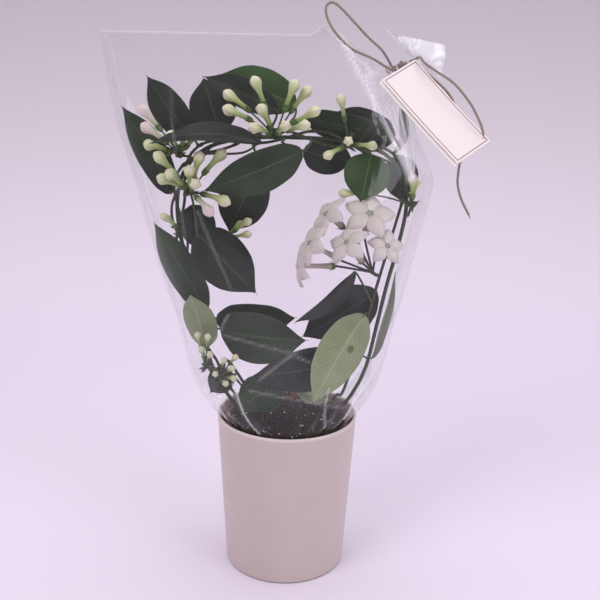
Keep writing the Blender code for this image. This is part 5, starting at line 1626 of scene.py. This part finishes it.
def gathered(x, y, z):
    # where a point of the plain sleeve goes once its corner is drawn together at the neck
    g, axis, centre = gatherShape, neckAxis(), neck["centre"]
    px, pz = x - g["at"][0], z - g["at"][1]
    ahead = px * axis.x + pz * axis.z
    across = -px * axis.z + pz * axis.x
    if ahead <= 0:
        reach = mix(g["reachBelow"], g["reachAbove"], ease(across / g["reachBelow"]))
        pull = 1 - ease((-ahead - g["halfLength"]) / reach)
        spread = mix(1.0, g["squeeze"], pull)
        flat = mix(1.0, g["flatness"], pull)
    else:
        pull = 1.0
        beyond = ease((ahead - g["halfLength"]) / g["rosetteReach"])
        spread = mix(g["squeeze"], g["rosetteSpread"], beyond)
        flat = mix(g["flatness"], g["rosetteFlatness"], beyond)
        ahead *= mix(1.0, g["rosetteLength"], beyond)
    across *= spread
    return (mix(g["at"][0], centre[0], pull) + ahead * axis.x - across * axis.z, y * flat + centre[1] * pull,
            mix(g["at"][1], centre[2], pull) + ahead * axis.z + across * axis.x)


def filmPoint(turn, z, section):
    # round near the pot, squarer above it, and raised along part of its upper edge
    f = filmShape
    left, right, front, rear = section
    c, s = cos(turn), sin(turn)
    square = ease((z - f["roundBelow"]) / (f["squareAbove"] - f["roundBelow"]))
    power = 2 / mix(2, f["squareness"], square)
    x = right * c ** power if c > 0 else -left * abs(c) ** power
    y = rear * s ** power if s > 0 else -front * abs(s) ** power
    hump = max(0.0, 1 - ((x - f["topRiseAt"]) / f["topRiseReach"]) ** 2) ** 2
    high = ease((z - f["topRiseAbove"]) / (filmTop - f["topRiseAbove"]))
    return gathered(x, y, z + f["topRise"] * hump * high)


def awayFromLine(x, z, line):
    # each point's distance in x and z from a bent line, all in millimetres
    least = np.full(x.shape, 1e9)
    for (x0, z0), (x1, z1) in zip(line, line[1:]):
        length = hypot(x1 - x0, z1 - z0)
        t = np.clip(((x - x0) * (x1 - x0) + (z - z0) * (z1 - z0)) / length ** 2, 0, 1)
        least = np.minimum(least, np.hypot(x - x0 - t * (x1 - x0), z - z0 - t * (z1 - z0)))
    return least


def fade(t):
    return soften(np.clip(t, 0, 1))


def bell(x, width):
    return np.exp(-(x / width) ** 2)


def filmRelief(places, turn, z, waver):
    # how far each point stands off the plain sleeve, and how white it is: partly the film's haze and
    # milkiness, partly painted highlight and painted reflection
    p, white = pleatShape, filmMilkAndGlints
    axis = neckAxis()
    offset = places - np.array(neck["centre"])
    away = np.linalg.norm(offset, axis=2)
    ahead = offset @ np.array(axis)
    # pleats run out from the neck like a fan
    bearing = np.arctan2(offset @ np.array(axis.cross(viewer)), -ahead)
    near = bell(away, p["reach"]) * fade((away - p["clearOfNeck"]) / p["fadeIn"])
    rosette = fade((ahead - gatherShape["halfLength"]) / p["rosetteFade"])
    swing = bearing * mix(p["turns"], p["rosetteTurns"], rosette)
    swing = swing + waver[..., 0] * 5 + 1.5 * np.sin(bearing * 5) + (turn > pi) * 1.1
    ridge = np.abs(np.sin(swing)) * (0.6 + 0.4 * np.sin(bearing * 7 + 1))
    lift = p["height"] * near * ridge
    # small tucks stand over the pot's rim, and the loose film buckles
    tucks = 0.5 + 0.5 * np.sin(turn * p["tucks"] + 2 * np.sin(turn * 5))
    tucks = tucks * bell(z - p["tuckAt"], p["tuckReach"]) * fade((z - p["tuckFrom"]) / p["tuckFade"])
    lift = lift + p["tuckHeight"] * tucks
    loose = fade((z - p["looseFrom"]) / p["looseFade"])
    lift = lift + loose * (p["buckle"] * (0.5 + 0.5 * waver[..., 0]) + p["ripple"] * waver[..., 1])
    # painted reflection: a pale veil over the lower film, for the pale room that it reflects
    shade = white["haze"] + white["lowReflectionVeil"] * (1 - fade((z - 0.17) / 0.10)) * loose
    # the bunched film by the neck turns milky, with painted highlights on the pleat crests and on the
    # rosette
    shade = shade + near * (white["pleats"] + white["ridgeGlints"] * ridge ** 5)
    shade = shade + rosette * (white["rosette"] + white["rosetteRidgeGlints"] * ridge ** 3)
    inFront = (turn > pi) * (z > p["frontAbove"])
    for line, width, height, strength in filmFolds:
        mark = bell(awayFromLine(places[..., 0] * 1000, places[..., 2] * 1000, line), width) * inFront
        lift = lift + 0.001 * height * mark
        shade = np.maximum(shade, strength * mark)
    return lift, shade


def filmSeams(places, turn, z):
    # a weld down each side and a thin line inside it, with a painted highlight along each side edge where
    # the film turns
    white, x = filmMilkAndGlints, places[..., 0]
    edge = np.abs(np.cos(turn)) * fade((z - 0.17) / 0.03) * (1 - fade((z - 0.47) / 0.02))
    ends = np.where(np.cos(turn) > 0, x.max(axis=1, keepdims=True), x.min(axis=1, keepdims=True))
    inset = np.abs(x - ends)
    weld = white["side"] + white["weld"] * bell(places[..., 1] - neck["centre"][1], white["weldWidth"])
    seam = white["seam"] * edge * bell(inset - white["seamInset"], white["seamWidth"])
    return np.maximum((edge > 0.2) * bell(inset, white["sideGlintWidth"]) * weld, seam)


def makeFilm():
    f = filmShape
    rows, columns = f["rows"] + 1, f["columns"]
    heights = np.linspace(filmLow, filmTop, rows)
    turns = np.arange(columns) / columns * 2 * pi
    places = []
    for z in heights:
        section = filmSection(z)
        places.append([filmPoint(turn, z, section) for turn in turns])
    places = np.array(places)
    beside = np.roll(places, -1, axis=1) - np.roll(places, 1, axis=1)
    normals = np.cross(beside, np.gradient(places, axis=0))
    normals /= np.maximum(np.linalg.norm(normals, axis=2, keepdims=True), 1e-12)
    waver = np.array([[[noise.noise(Vector((cos(t) * around, sin(t) * around, z * upward)))
                        for around, upward in pleatShape["waverScales"]] for t in turns] for z in heights])
    turn, z = np.meshgrid(turns, heights)
    lift, shade = filmRelief(places, turn, z, waver)
    shade = np.maximum(shade, filmSeams(places, turn, z))
    # painted highlight: a light line along the film's top edge
    shade[-1] = np.maximum(shade[-1], filmMilkAndGlints["topEdgeGlint"])
    points = (places + normals * lift[..., None]).reshape(-1, 3)
    uvs = [(i / columns, k / f["rows"]) for k in range(rows) for i in range(columns)]
    sleeve = meshObject("clearSleeve", points, ringFaces(0, rows, columns), [film], None, uvs)
    milkAndPaintedGlints = sleeve.data.attributes.new("milkAndPaintedGlints", "FLOAT", "POINT")
    milkAndPaintedGlints.data.foreach_set("value", np.clip(shade, 0, filmMilkAndGlints["most"]).ravel().astype(np.float32))
    print("film area", round(sum(face.area for face in sleeve.data.polygons), 4))
    dress(sleeve, "clear_film", "film_sleeve")


makeFilm()
print("film done")
